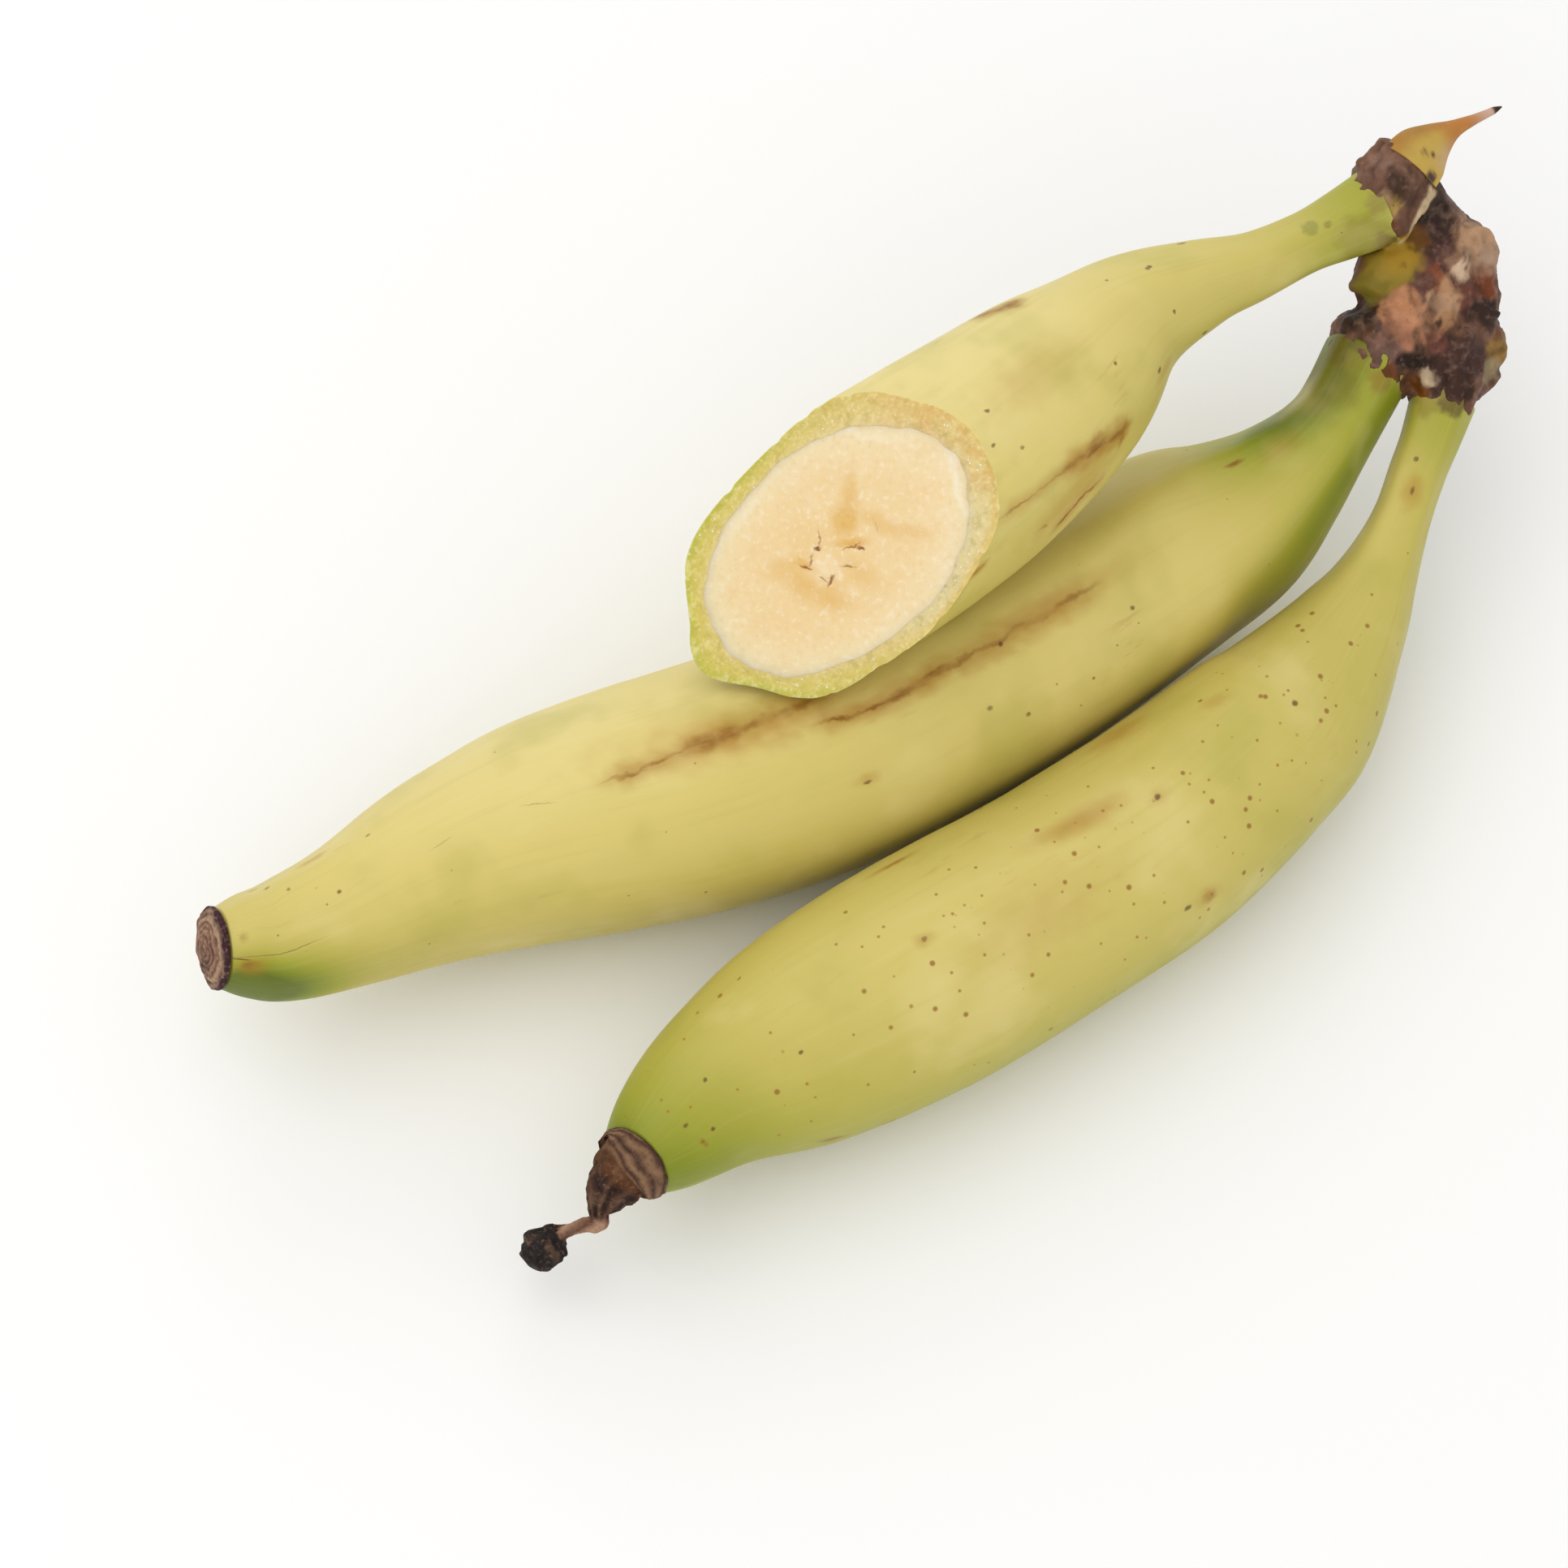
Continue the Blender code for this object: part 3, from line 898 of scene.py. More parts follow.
@dataclass(frozen=True)
class CutPlane:
    """The slanting plane that the upper fruit is cut along."""

    centre: Vector
    turn: float
    rise: float

    @property
    def outward(self) -> Vector:
        """Return the direction that the cut face looks in."""
        level = math.cos(self.rise)
        return Vector((math.cos(self.turn) * level, math.sin(self.turn) * level, math.sin(self.rise)))

    @property
    def rightward(self) -> Vector:
        """Return the face's level direction to the right, seen from in front."""
        return (SEEN_RIGHT - self.outward * SEEN_RIGHT.dot(self.outward)).normalized()

    @property
    def upward(self) -> Vector:
        """Return the face's upward direction."""
        return self.outward.cross(self.rightward)

    def place(self, point: Vector) -> tuple[float, float]:
        """Return a point's place on the face, in mm from its centre."""
        off = point - self.centre
        return off.dot(self.rightward), off.dot(self.upward)

    def meet(self, point_at: Callable[[float], Vector], last: float) -> float:
        """Return the station number where a line along the fruit meets the plane.

        Args:
            point_at: Gives the line's point at a station number.
            last: The number of the fruit's last station.

        Returns:
            The station number.
        """
        low, high = 3.0, last + 0.6
        for _ in range(20):
            middle = (low + high) / 2
            if (point_at(middle) - self.centre).dot(self.outward) < 0:
                low = middle
            else:
                high = middle
        return (low + high) / 2


@dataclass(frozen=True)
class RindFinish:
    """Wet, grainy cut peel that is green outside and cream toward the flesh."""

    name: str = "cut_rind"

    def make(self) -> bpy.types.Material:
        """Make the material.

        Returns:
            The material.
        """
        paint = Paint(self.name)
        paint.colour = paint.attribute("tone", "Color")
        # soft cells of the wet rind, a little darker and greener in places
        cells = paint.grain((2.2, 2.2, 2.2), 4.0)
        paint.lay(paint.ranged(cells, 0.50, 0.68, 0.0, 0.50), linear("#e8d894"))
        paint.lay(paint.ranged(cells, 0.48, 0.30, 0.0, 0.42), linear("#b4a650"))
        fine = paint.grain((0.8, 0.8, 0.8), 3.0)
        paint.lay(paint.ranged(fine, 0.54, 0.68, 0.0, 0.34), linear("#f2e6bc"))
        paint.lay(paint.ranged(fine, 0.46, 0.32, 0.0, 0.22), linear("#b09e50"))
        # sparse raised beads of sap, coloured near-white as painted glints
        where = paint.scaled_place(paint.object_place, (1.5, 1.5, 1.5))
        drops = add_node(paint.tree, "ShaderNodeTexVoronoi", {"Vector": where, "Scale": 1.0})
        bead = paint.ranged(drops.outputs["Distance"], 0.20, 0.10)
        groups = paint.ranged(paint.grain((7.0, 7.0, 7.0), 1.0), 0.44, 0.56)
        sap_beads_and_glints = paint.math("MULTIPLY", bead, groups)
        paint.lay(paint.math("MULTIPLY", sap_beads_and_glints, 0.8), linear("#fffbe8"))
        paint.raise_by(cells, 0.40)
        paint.raise_by(fine, 0.12)
        paint.raise_by(sap_beads_and_glints, 0.15)
        return paint.finish(
            0.30, 0.8, Subsurface_Weight=0.20, Subsurface_Scale=0.003,
            Subsurface_Radius=(1.0, 0.8, 0.35), Specular_IOR_Level=0.5)


@dataclass(frozen=True)
class FleshFinish:
    """Moist cream flesh with amber lobes round its middle, pale patches and small dark fissures."""

    name: str = "cream_flesh"
    # right, up, half-length and half-width on the cut face in mm, turn in degrees, and strength
    amber: tuple[Spot, ...] = (
        (0.3, 7.4, 6.0, 1.5, 82.0, 0.55), (0.0, 4.2, 3.4, 2.6, 70.0, 0.8),
        (7.5, 3.6, 5.5, 1.5, -25.0, 0.45), (13.5, 2.4, 4.6, 1.2, -8.0, 0.35),
        (-13.0, -6.2, 4.6, 2.0, 14.0, 0.35), (-9.0, -9.2, 4.0, 2.6, -35.0, 0.45),
        (-3.4, -11.6, 4.2, 2.4, -20.0, 0.5), (4.0, -7.0, 3.8, 2.0, -28.0, 0.30),
        (1.2, -0.6, 3.2, 0.9, 8.0, 0.8), (-8.6, -5.6, 2.6, 1.0, -20.0, 0.75),
    )
    pale: tuple[Spot, ...] = (
        (-4.4, -5.6, 3.0, 3.0, 0.0, 0.5), (23.3, 12.8, 5.6, 0.7, -74.0, 0.9),
        (3.6, 21.4, 8.0, 0.7, -8.0, 0.5), (-22.0, 4.0, 9.0, 0.8, 52.0, 0.4),
    )
    fissures: tuple[Spot, ...] = (
        (-5.9, -1.9, 0.8, 0.38, 20.0, 1.0), (-5.6, 0.1, 1.7, 0.18, 96.0, 0.6),
        (3.4, -1.3, 1.0, 0.30, -6.0, 1.0), (1.3, -1.3, 2.1, 0.16, 24.0, 0.8),
        (-8.4, -5.9, 1.3, 0.28, -16.0, 0.9), (-7.4, -4.1, 1.3, 0.14, 68.0, 0.7),
        (-3.2, -8.4, 1.3, 0.28, 64.0, 0.9), (-4.4, -8.2, 0.8, 0.18, -30.0, 0.7),
        (0.6, -5.3, 1.7, 0.17, -4.0, 0.8), (6.4, 3.2, 1.2, 0.14, -60.0, 0.4),
    )

    def spots(self, rows: tuple[Spot, ...]) -> list[Mark]:
        """Return placed spots as marks, whose along and angle hold their place in mm."""
        return [Mark(*row) for row in rows]

    def make(self) -> bpy.types.Material:
        """Make the material.

        Returns:
            The material.
        """
        paint = Paint(self.name)
        face = add_node(paint.tree, "ShaderNodeUVMap", uv_map="face").outputs["UV"]
        paint.colour = paint.attribute("tone", "Color")
        mottle = paint.grain((5.0, 5.0, 5.0), 4.0)
        paint.lay(paint.ranged(mottle, 0.52, 0.72, 0.0, 0.35), linear("#f2dfbd"))
        paint.lay(paint.ranged(mottle, 0.46, 0.28, 0.0, 0.30), linear("#ebca94"))
        fine = paint.grain((1.3, 1.3, 1.3), 4.0)
        paint.lay(paint.ranged(fine, 0.54, 0.70, 0.0, 0.45), linear("#f8ead0"))
        paint.lay(paint.ranged(fine, 0.46, 0.30, 0.0, 0.35), linear("#e6c68e"))
        ragged = paint.ragged(paint.ragged(face, 3.0, 1.2), 0.9, 0.4)

        def locate(mark: Mark) -> Point:
            """Return a spot's centre on the cut face."""
            return mark.along * MM, mark.angle * MM, 1.0

        for rows, colour, softness, strength in (
            (self.amber, "#dca83a", 0.8, 0.95),
            (self.pale, "#f8ecd4", 0.9, 0.8),
            (self.fissures, "#8a4a0c", 0.55, 0.95),
        ):
            mask = paint.mark_mask(self.spots(rows), ragged, locate, softness)
            amount = paint.math("MULTIPLY", mask, strength)
            cover = paint.math("MULTIPLY", amount, paint.ranged(fine, 0.34, 0.56, 0.7, 1.0))
            paint.lay(cover, linear(colour))
        # starchy threads that stand a little proud of the cut
        threads = paint.grain((0.7, 0.7, 0.7), 3.0)
        paint.raise_by(threads, 0.14)
        paint.raise_by(mottle, 0.20)
        return paint.finish(
            0.42, 0.8, Subsurface_Weight=0.35, Subsurface_Scale=0.005,
            Subsurface_Radius=(1.0, 0.7, 0.4), Specular_IOR_Level=0.45)


@dataclass
class CutFruit:
    """The upper fruit's peel and flesh, both ending at the cut."""

    painter: SkinPainter
    plane: CutPlane
    peel_thickness: float = 4.2
    # the peel is thicker on the side where the flesh leans away
    flesh_lean: float = 0.06
    flesh_lean_side: float = math.radians(-155.0)
    flesh_start: float = 3.1
    # the middle of the flesh's star, to the right and up on the cut face in mm
    star: tuple[float, float] = (-4.6, -5.4)
    outer_rows: int = 200
    ring_rows: int = 26
    inner_rows: int = 40
    columns: int = 220
    face_rows: int = 80

    def build(self) -> None:
        """Build the peel and the flesh."""
        self.build_peel()
        self.build_flesh()

    def wall_point(self, along: float, angle: float, gap: float = 0.0) -> Vector:
        """Return a point of the wall between peel and flesh.

        Args:
            along: The station number.
            angle: The angle round the fruit, in radians.
            gap: How far inside the wall the point lies, in mm.

        Returns:
            The point in mm.
        """
        ring = self.painter.form.ring(along)
        lean = self.flesh_lean * math.cos(angle - self.flesh_lean_side)
        uneven = 0.22 * math.sin(5 * angle + 1.0) + 0.16 * math.sin(11 * angle + 2.0)
        uneven += 0.12 * math.sin(23 * angle)
        radius = ring.radius * (1.0 + lean) - self.peel_thickness + uneven - gap
        return ring.centre + ring.across(angle) * radius

    def rim(self, angle: float) -> tuple[float, float]:
        """Return the station numbers where the skin and the inner wall meet the cut."""
        form = self.painter.form
        skin_end = self.plane.meet(lambda along: form.point(along, angle), form.last)
        return skin_end, self.plane.meet(lambda along: self.wall_point(along, angle), form.last)

    def build_peel(self) -> bpy.types.Object:
        """Build the peel: its skin, the ring across the cut and the wall inside.

        Returns:
            The peel's object.
        """
        form = self.painter.form
        rows = self.outer_rows + self.ring_rows + self.inner_rows
        bm, places = new_grid(rows, self.columns)
        self.painter.prepare(bm)
        rims = [self.rim((column / self.columns - 0.5) * math.tau) for column in range(self.columns + 1)]
        rims[-1] = rims[0]
        outward = self.plane.outward
        for vert, (share, turn) in zip(bm.verts, places):
            row = round(share * rows)
            angle = (turn - 0.5) * math.tau
            skin_end, wall_end = rims[round(turn * self.columns)]
            if row <= self.outer_rows:
                along = skin_end * row / self.outer_rows
                point = self.skin_point(along, angle, skin_end)
                vert.co = point * MM
                self.painter.paint(bm, vert, along, angle)
            elif row <= self.outer_rows + self.ring_rows:
                inward = (row - self.outer_rows) / self.ring_rows
                outer = self.skin_point(skin_end, angle, skin_end)
                inner = self.wall_point(wall_end, angle)
                point = outer.lerp(inner, inward)
                sink = 0.35 * math.sin(math.pi * inward) + 0.18 * soft_noise(point, 1.8, 2.0)
                sink += 0.12 * soft_noise(point, 5.0, 4.0)
                point = point - outward * sink * ease(0.0, 0.12, inward) * ease(1.0, 0.9, inward)
                self.painter.paint(bm, vert, skin_end, angle)
                vert[bm.verts.layers.float_color["tone"]] = self.rind_tone(point, inward)
            else:
                back = (row - self.outer_rows - self.ring_rows) / self.inner_rows
                along = wall_end + (self.flesh_start - wall_end) * back
                point = self.wall_point(along, angle)
                self.painter.paint(bm, vert, along, angle)
                vert[bm.verts.layers.float_color["tone"]] = self.rind_tone(point, 1.0)
            vert.co = point * MM

        def along_of(share: float, turn: float) -> float:
            """Return the station number of a grid place, which ends at the cut."""
            end = rims[round(turn * self.columns)][0]
            return end * min(1.0, share * rows / self.outer_rows)

        for face in bm.faces:
            middle = sum(loop[bm.loops.layers.uv.active].uv.x for loop in face.loops) / len(face.loops)
            face.material_index = 0 if middle * rows < self.outer_rows else 1
        self.painter.unroll(bm, along_of)
        close_up(bm)
        sharpen(bm)
        materials = [self.painter.finish.make(form), RindFinish().make()]
        piece = place_piece(bm, "cut_peel", materials, Slot.PEEL, "upper_fruit_peel")
        return piece

    def skin_point(self, along: float, angle: float, end: float) -> Vector:
        """Return a point of the weathered skin, with a ragged edge at the cut.

        Args:
            along: The station number.
            angle: The angle round the fruit, in radians.
            end: The station number of the cut there.

        Returns:
            The point in mm.
        """
        ring = self.painter.form.ring(along)
        point = self.painter.form.on_ring(ring, angle)
        inward = (ring.centre - point).normalized()
        wave = 0.5 + 0.5 * soft_noise(point, 15.0, 5.0)
        near = ease(0.5, 0.0, end - along)
        chipped = max(0.0, soft_noise(point, 3.2, 9.0) + 0.35 * soft_noise(point, 1.3, 4.0)) * 0.9
        return point + inward * (wave * 0.3 * ease(0.0, 2.0, along) + near * chipped)

    def rind_tone(self, point: Vector, inward: float) -> Colour:
        """Return the cut peel's colour.

        Args:
            point: The place in mm.
            inward: 0 at the skin and 1 at the flesh.

        Returns:
            The linear colour.
        """
        right, up = self.plane.place(point)
        green = ease(22.0, -26.0, right + 0.25 * up)
        outer = blend_colours(linear("#dcc070"), linear("#b4b430"), green)
        middle = blend_colours(linear("#dcc278"), linear("#d2c25a"), green)
        inner = blend_colours(linear("#e4c98c"), linear("#dcc776"), green)
        if inward < 0.5:
            tone = blend_colours(outer, middle, ease(0.0, 0.5, inward))
        else:
            tone = blend_colours(middle, inner, ease(0.5, 1.0, inward))
        pale = ease(8.0, 20.0, right) * ease(20.0, 2.0, up) * ease(0.1, 0.5, inward)
        tone = blend_colours(tone, linear("#e2d6a8"), 0.5 * pale)
        warm = ease(8.0, 16.0, up) * ease(2.0, 14.0, right) * (0.6 + 0.8 * soft_noise(point, 3.0, 22.0))
        return blend_colours(tone, linear("#dca85c"), 0.5 * warm)

    def build_flesh(self) -> bpy.types.Object:
        """Build the flesh: its wall, and its gently uneven cut face with small pits.

        Returns:
            The flesh's object.
        """
        form = self.painter.form
        rows = self.inner_rows + self.face_rows
        bm, places = new_grid(rows, self.columns, "face")
        tones = bm.verts.layers.float_color.new("tone")
        gap = 0.02
        ends = []
        for column in range(self.columns + 1):
            angle = (column / self.columns - 0.5) * math.tau
            ends.append(self.plane.meet(lambda along: self.wall_point(along, angle, gap), form.last))
        ends[-1] = ends[0]
        right, up = self.star
        middle = self.plane.centre + self.plane.rightward * right + self.plane.upward * up
        start = self.flesh_start + 0.15
        spots = {}
        for vert, (share, turn) in zip(bm.verts, places):
            row = round(share * rows)
            column = round(turn * self.columns)
            angle = (turn - 0.5) * math.tau
            if row <= self.inner_rows:
                along = start + (ends[column] - start) * row / self.inner_rows
                point = self.wall_point(along, angle, gap)
            else:
                inward = (row - self.inner_rows) / self.face_rows
                rim = self.wall_point(ends[column], angle, gap)
                point = rim.lerp(middle, inward)
                point = point + self.plane.outward * self.face_relief(point, inward)
            vert.co = point * MM
            spots[vert.index] = self.plane.place(point)
            vert[tones] = self.flesh_tone(point, row / rows)
        layer = bm.loops.layers.uv.active
        for face in bm.faces:
            for loop in face.loops:
                right, up = spots[loop.vert.index]
                loop[layer].uv = (right * MM, up * MM)
        close_up(bm)
        sharpen(bm)
        piece = place_piece(bm, "cut_flesh", [FleshFinish().make()], Slot.FLESH, "upper_fruit_flesh")
        return piece

    def face_relief(self, point: Vector, inward: float) -> float:
        """Return how far the cut face stands out of its plane at a point, in mm.

        Args:
            point: A point of the plane, in mm.
            inward: 0 at the rim and 1 at the middle.

        Returns:
            The height in mm.
        """
        right, up = self.plane.place(point)
        height = 0.20 * ease(0.0, 0.10, inward)
        height += 0.16 * soft_noise(point, 7.0, 1.0) * ease(0.0, 0.1, inward)
        height += 0.07 * soft_noise(point, 1.6, 8.0) * ease(0.0, 0.1, inward)
        for spot in FleshFinish.fissures:
            off = Vector((right - spot[0], up - spot[1])).length
            height -= 0.5 * spot[5] * math.exp(-(off / 0.8) ** 2)
        return height

    def flesh_tone(self, point: Vector, share: float) -> Colour:
        """Return the flesh's own colour at a place, lighter toward the rim."""
        right, up = self.plane.place(point)
        off = Vector((right - self.star[0], up - self.star[1])).length
        core = linear("#ebcc90")
        outer = linear("#eed39e")
        tone = blend_colours(core, outer, ease(4.0, 14.0, off))
        return blend_colours(tone, linear("#f2deb4"), 0.7 * ease(0.62, 0.34, share))


# The crown and the torn skin on it.


@dataclass(frozen=True)
class Patch:
    """A soft-edged patch of colour on a lumpy piece."""

    centre: Point
    radius: float
    colour: str
    strength: float = 1.0
    # how much the edge wanders, as a share of the radius
    ragged: float = 0.45

    def cover(self, point: Vector) -> float:
        """Return how much of the patch's colour a point takes."""
        off = (point - Vector(self.centre)).length / self.radius
        if off > 2.0:
            return 0.0
        off += self.ragged * soft_noise(point, self.radius * 0.55, self.radius)
        off += 0.35 * self.ragged * soft_noise(point, 1.3, self.radius)
        return self.strength * ease(1.28, 0.66, off)


@dataclass(frozen=True)
class RoughFinish:
    """Dry, wrinkled plant tissue, with painted light on its high spots and painted shade in its creases, over
    random light and dark blotches.
    """

    name: str
    light: str
    dark: str
    grain_size: float = 1.2
    relief: float = 0.7
    roughness: float = 0.75
    contrast: float = 0.5

    def make(self) -> bpy.types.Material:
        """Make the material.

        Returns:
            The material.
        """
        paint = Paint(self.name)
        paint.colour = paint.attribute("tone", "Color")
        sizes = (self.grain_size, self.grain_size, self.grain_size)
        wrinkles = paint.grain(sizes, 5.0)
        blotches = paint.grain((4.2, 4.2, 4.2), 3.0)
        dryness = paint.attribute("dryness")
        # the wrinkles, which are also the relief, paint light on their high spots and shade in their hollows;
        # the blotches are random tone
        for pattern, low, high, amount, colour in (
            (wrinkles, 0.52, 0.76, self.contrast, self.light),
            (wrinkles, 0.48, 0.26, self.contrast, self.dark),
            (blotches, 0.48, 0.30, self.contrast, self.dark),
            (blotches, 0.56, 0.72, 0.6 * self.contrast, self.light),
        ):
            cover = paint.ranged(pattern, low, high, 0.0, amount)
            paint.lay(paint.math("MULTIPLY", cover, dryness), linear(colour))
        paint.raise_by(paint.math("MULTIPLY", wrinkles, dryness), self.relief)
        return paint.finish(self.roughness, 0.9, Specular_IOR_Level=0.22)


@dataclass
class Crown:
    """The dark, cut crown with its stump, torn band and lumps."""

    base: str = "#4f311c"
    voxel: float = 0.62
    patches: tuple[Patch, ...] = (
        Patch((122.4, -2.4, 61.4), 34.0, "#6c4733", 1.0, 0.0),
        Patch((137.3, 12.7, 73.8), 6.4, "#2c1a0e", 0.95), Patch((133.6, 12.2, 73.4), 4.4, "#1e120a", 0.95),
        Patch((140.6, 11.0, 69.4), 4.6, "#6e503e", 0.95), Patch((131.9, 9.2, 70.0), 4.0, "#3c221c", 0.9),
        Patch((130.9, 6.4, 66.5), 4.0, "#5d3931", 0.8), Patch((140.4, 4.6, 65.6), 6.0, "#c49a76", 0.95),
        Patch((141.2, -0.6, 62.0), 3.6, "#b4947c", 0.9), Patch((135.1, 1.6, 63.6), 2.2, "#e2c3a3", 0.9),
        Patch((138.5, -2.9, 60.2), 3.2, "#7c3c18", 0.95), Patch((139.6, -0.4, 62.0), 2.0, "#9c7052", 0.8),
        Patch((132.0, -2.8, 61.0), 4.0, "#713f31", 0.9), Patch((134.5, -7.7, 57.7), 4.2, "#28160f", 0.9),
        Patch((128.4, 0.2, 63.3), 3.6, "#bf8f69", 0.95), Patch((126.2, -2.0, 61.8), 3.6, "#c29874", 0.9),
        Patch((124.4, -4.8, 60.6), 2.8, "#ac7e54", 0.9), Patch((128.4, 4.3, 65.6), 2.8, "#8e4927", 0.9),
        Patch((124.7, 4.0, 65.0), 3.2, "#5c372f", 0.85), Patch((117.6, 1.6, 62.2), 5.4, "#c98e66", 1.0),
        Patch((114.3, -0.2, 61.4), 4.0, "#ba7d5d", 0.8), Patch((110.6, 1.8, 60.8), 2.8, "#7a584a", 0.9),
        Patch((110.6, -2.8, 58.4), 3.0, "#74564c", 0.85), Patch((111.8, 4.6, 61.2), 2.2, "#4a3226", 0.9),
        Patch((114.5, -5.8, 56.4), 3.0, "#1c0d06", 0.95), Patch((118.0, -7.8, 56.2), 2.4, "#2c180e", 0.9),
        Patch((124.3, -11.0, 56.3), 6.0, "#432720", 0.95),
        Patch((118.6, -13.6, 53.6), 4.6, "#3c211a", 0.95), Patch((120.5, -6.4, 58.2), 2.8, "#7e4737", 0.8),
        Patch((122.7, -3.3, 60.6), 0.9, "#2e1a0d", 0.9), Patch((114.9, -9.6, 53.4), 2.0, "#e6caa5", 0.9),
        Patch((113.0, -9.6, 51.0), 2.6, "#7c440a", 0.95), Patch((109.0, -4.6, 55.6), 2.6, "#7c431b", 0.85),
        Patch((112.4, 9.4, 59.4), 4.4, "#201204", 0.95), Patch((114.7, 8.1, 61.0), 2.6, "#3c2713", 0.9),
        Patch((109.3, 8.9, 58.5), 2.0, "#3c2614", 0.8), Patch((133.3, -12.6, 51.0), 4.0, "#9a7434", 0.95),
        Patch((128.6, -15.2, 49.8), 3.2, "#a08c66", 0.9), Patch((108.2, -3.2, 57.0), 2.4, "#6a3c0c", 0.9),
        Patch((107.2, -5.4, 54.6), 2.4, "#74420c", 0.9), Patch((134.2, -10.6, 54.0), 2.0, "#7c4d33", 0.8),
    )
    stump: tuple[Patch, ...] = (
        Patch((120.4, 10.8, 66.4), 5.8, "#927a28", 1.0, 0.2),
        Patch((117.0, 11.4, 63.4), 4.2, "#7a6a1c", 1.0, 0.2),
        Patch((125.6, 11.8, 68.2), 5.0, "#a07e1e", 1.0, 0.2),
        Patch((129.2, 11.1, 70.0), 3.0, "#5c3608", 0.9, 0.3),
        Patch((122.6, 9.2, 67.8), 0.9, "#705113", 0.8), Patch((116.1, 10.0, 61.6), 1.8, "#6c6412", 0.8),
        Patch((121.8, 14.6, 63.6), 2.6, "#8e7020", 0.8),
    )
    band: tuple[Patch, ...] = (
        Patch((130.4, 23.0, 78.0), 10.5, "#75503c", 1.0, 0.15),
        Patch((131.1, 24.8, 80.8), 3.6, "#896553", 0.9), Patch((129.5, 17.9, 81.0), 3.4, "#402818", 0.95),
        Patch((129.6, 15.2, 79.0), 2.4, "#5c3d2b", 0.9), Patch((125.9, 16.7, 78.4), 1.8, "#b4944c", 0.9),
        Patch((124.0, 15.4, 76.6), 1.6, "#6c3309", 0.9), Patch((123.6, 14.4, 73.0), 2.4, "#5a2c04", 0.95),
        Patch((126.2, 13.6, 70.0), 1.6, "#8e6c38", 0.8), Patch((125.0, 18.4, 79.6), 1.6, "#9a8060", 0.7),
        Patch((121.8, 13.4, 71.0), 2.2, "#4c2200", 0.9),
    )
    # the pale torn edge of skin along the stump, as places and a radius in mm
    torn_edge: tuple[tuple[Point, float], ...] = (
        ((134.9, 15.2, 76.6), 0.3), ((132.8, 13.9, 76.2), 0.8), ((129.6, 13.1, 75.0), 1.0),
        ((127.4, 13.2, 72.4), 1.0), ((125.6, 13.6, 69.6), 0.5),
    )
    # a hooked spike, small lumps on the rim and the bark round the necks, as two ends and two radii in mm
    spurs: tuple[tuple[Point, Point, float, float], ...] = (
        ((133.6, -7.4, 56.8), (137.0, -8.8, 56.6), 1.6, 0.2),
        ((129.6, 27.6, 77.6), (127.6, 29.2, 78.2), 1.6, 0.5),
        ((142.0, 1.0, 60.4), (144.2, 1.2, 61.4), 2.0, 0.8),
        ((136.5, 10.5, 67.5), (139.2, 10.5, 70.4), 4.6, 3.2),
        ((131.0, 26.0, 77.0), (135.4, 27.8, 80.4), 3.4, 2.2),
        ((111.5, 3.1, 50.4), (107.2, 0.75, 49.1), 9.9, 9.1),
        ((127.4, 20.5, 72.0), (123.0, 20.7, 71.2), 8.9, 7.3),
        ((118.8, -12.3, 45.8), (116.0, -14.1, 45.3), 7.4, 6.7),
    )

    def build(self) -> bpy.types.Object:
        """Build the crown from a merged copy of its solid, remeshed finely and roughened.

        Returns:
            The crown's object.
        """
        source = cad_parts["crown"]
        solid = source if isinstance(source, bpy.types.Object) else bpy.data.objects[source]
        bm = bmesh.new()
        bm.from_mesh(solid.data)
        bmesh.ops.remove_doubles(bm, verts=bm.verts, dist=0.01 * MM)
        for (foot, wide), (tip, narrow) in zip(self.torn_edge, self.torn_edge[1:]):
            self.add_spur(bm, foot, tip, wide, narrow)
        for spur in self.spurs:
            self.add_spur(bm, *spur)
        bm = self.remesh(bm)
        bmesh.ops.smooth_vert(
            bm, verts=bm.verts, factor=0.5, use_axis_x=True, use_axis_y=True, use_axis_z=True)
        bm.normal_update()
        tones = bm.verts.layers.float_color.new("tone")
        dryness = bm.verts.layers.float.new("dryness")
        for vert in bm.verts:
            point = vert.co / MM
            fresh = self.cover_of(self.stump, point)
            push = self.relief(point) * (1.0 - 0.85 * fresh)
            vert.co = vert.co + vert.normal * push * MM
            vert[tones] = self.tone(point)
            vert[dryness] = 1.0 - 0.9 * fresh
        bmesh.ops.recalc_face_normals(bm, faces=bm.faces)
        finish = RoughFinish(
            "dark_woody_crown", light="#a98670", dark="#2c1d16", grain_size=1.8, relief=0.5,
            roughness=0.55, contrast=0.28)
        return place_piece(bm, "crown_wood", [finish.make()], Slot.CROWN, "crown")

    def add_spur(
        self, bm: bmesh.types.BMesh, foot: Point, tip: Point, foot_radius: float, tip_radius: float
    ) -> None:
        """Add a tapered spur to the mesh, which the remesh joins to the rest.

        Args:
            bm: The mesh in metres.
            foot: Where the spur starts, in mm.
            tip: Where it ends, in mm.
            foot_radius: Its radius at the foot, in mm.
            tip_radius: Its radius at the tip, in mm.
        """
        start, end = Vector(foot), Vector(tip)
        turn = (end - start).to_track_quat("Z", "Y").to_matrix().to_4x4()
        turn.translation = (start + end) / 2 * MM
        bmesh.ops.create_cone(
            bm, cap_ends=True, segments=24, radius1=foot_radius * MM, radius2=max(tip_radius, 0.1) * MM,
            depth=(end - start).length * MM, matrix=turn)

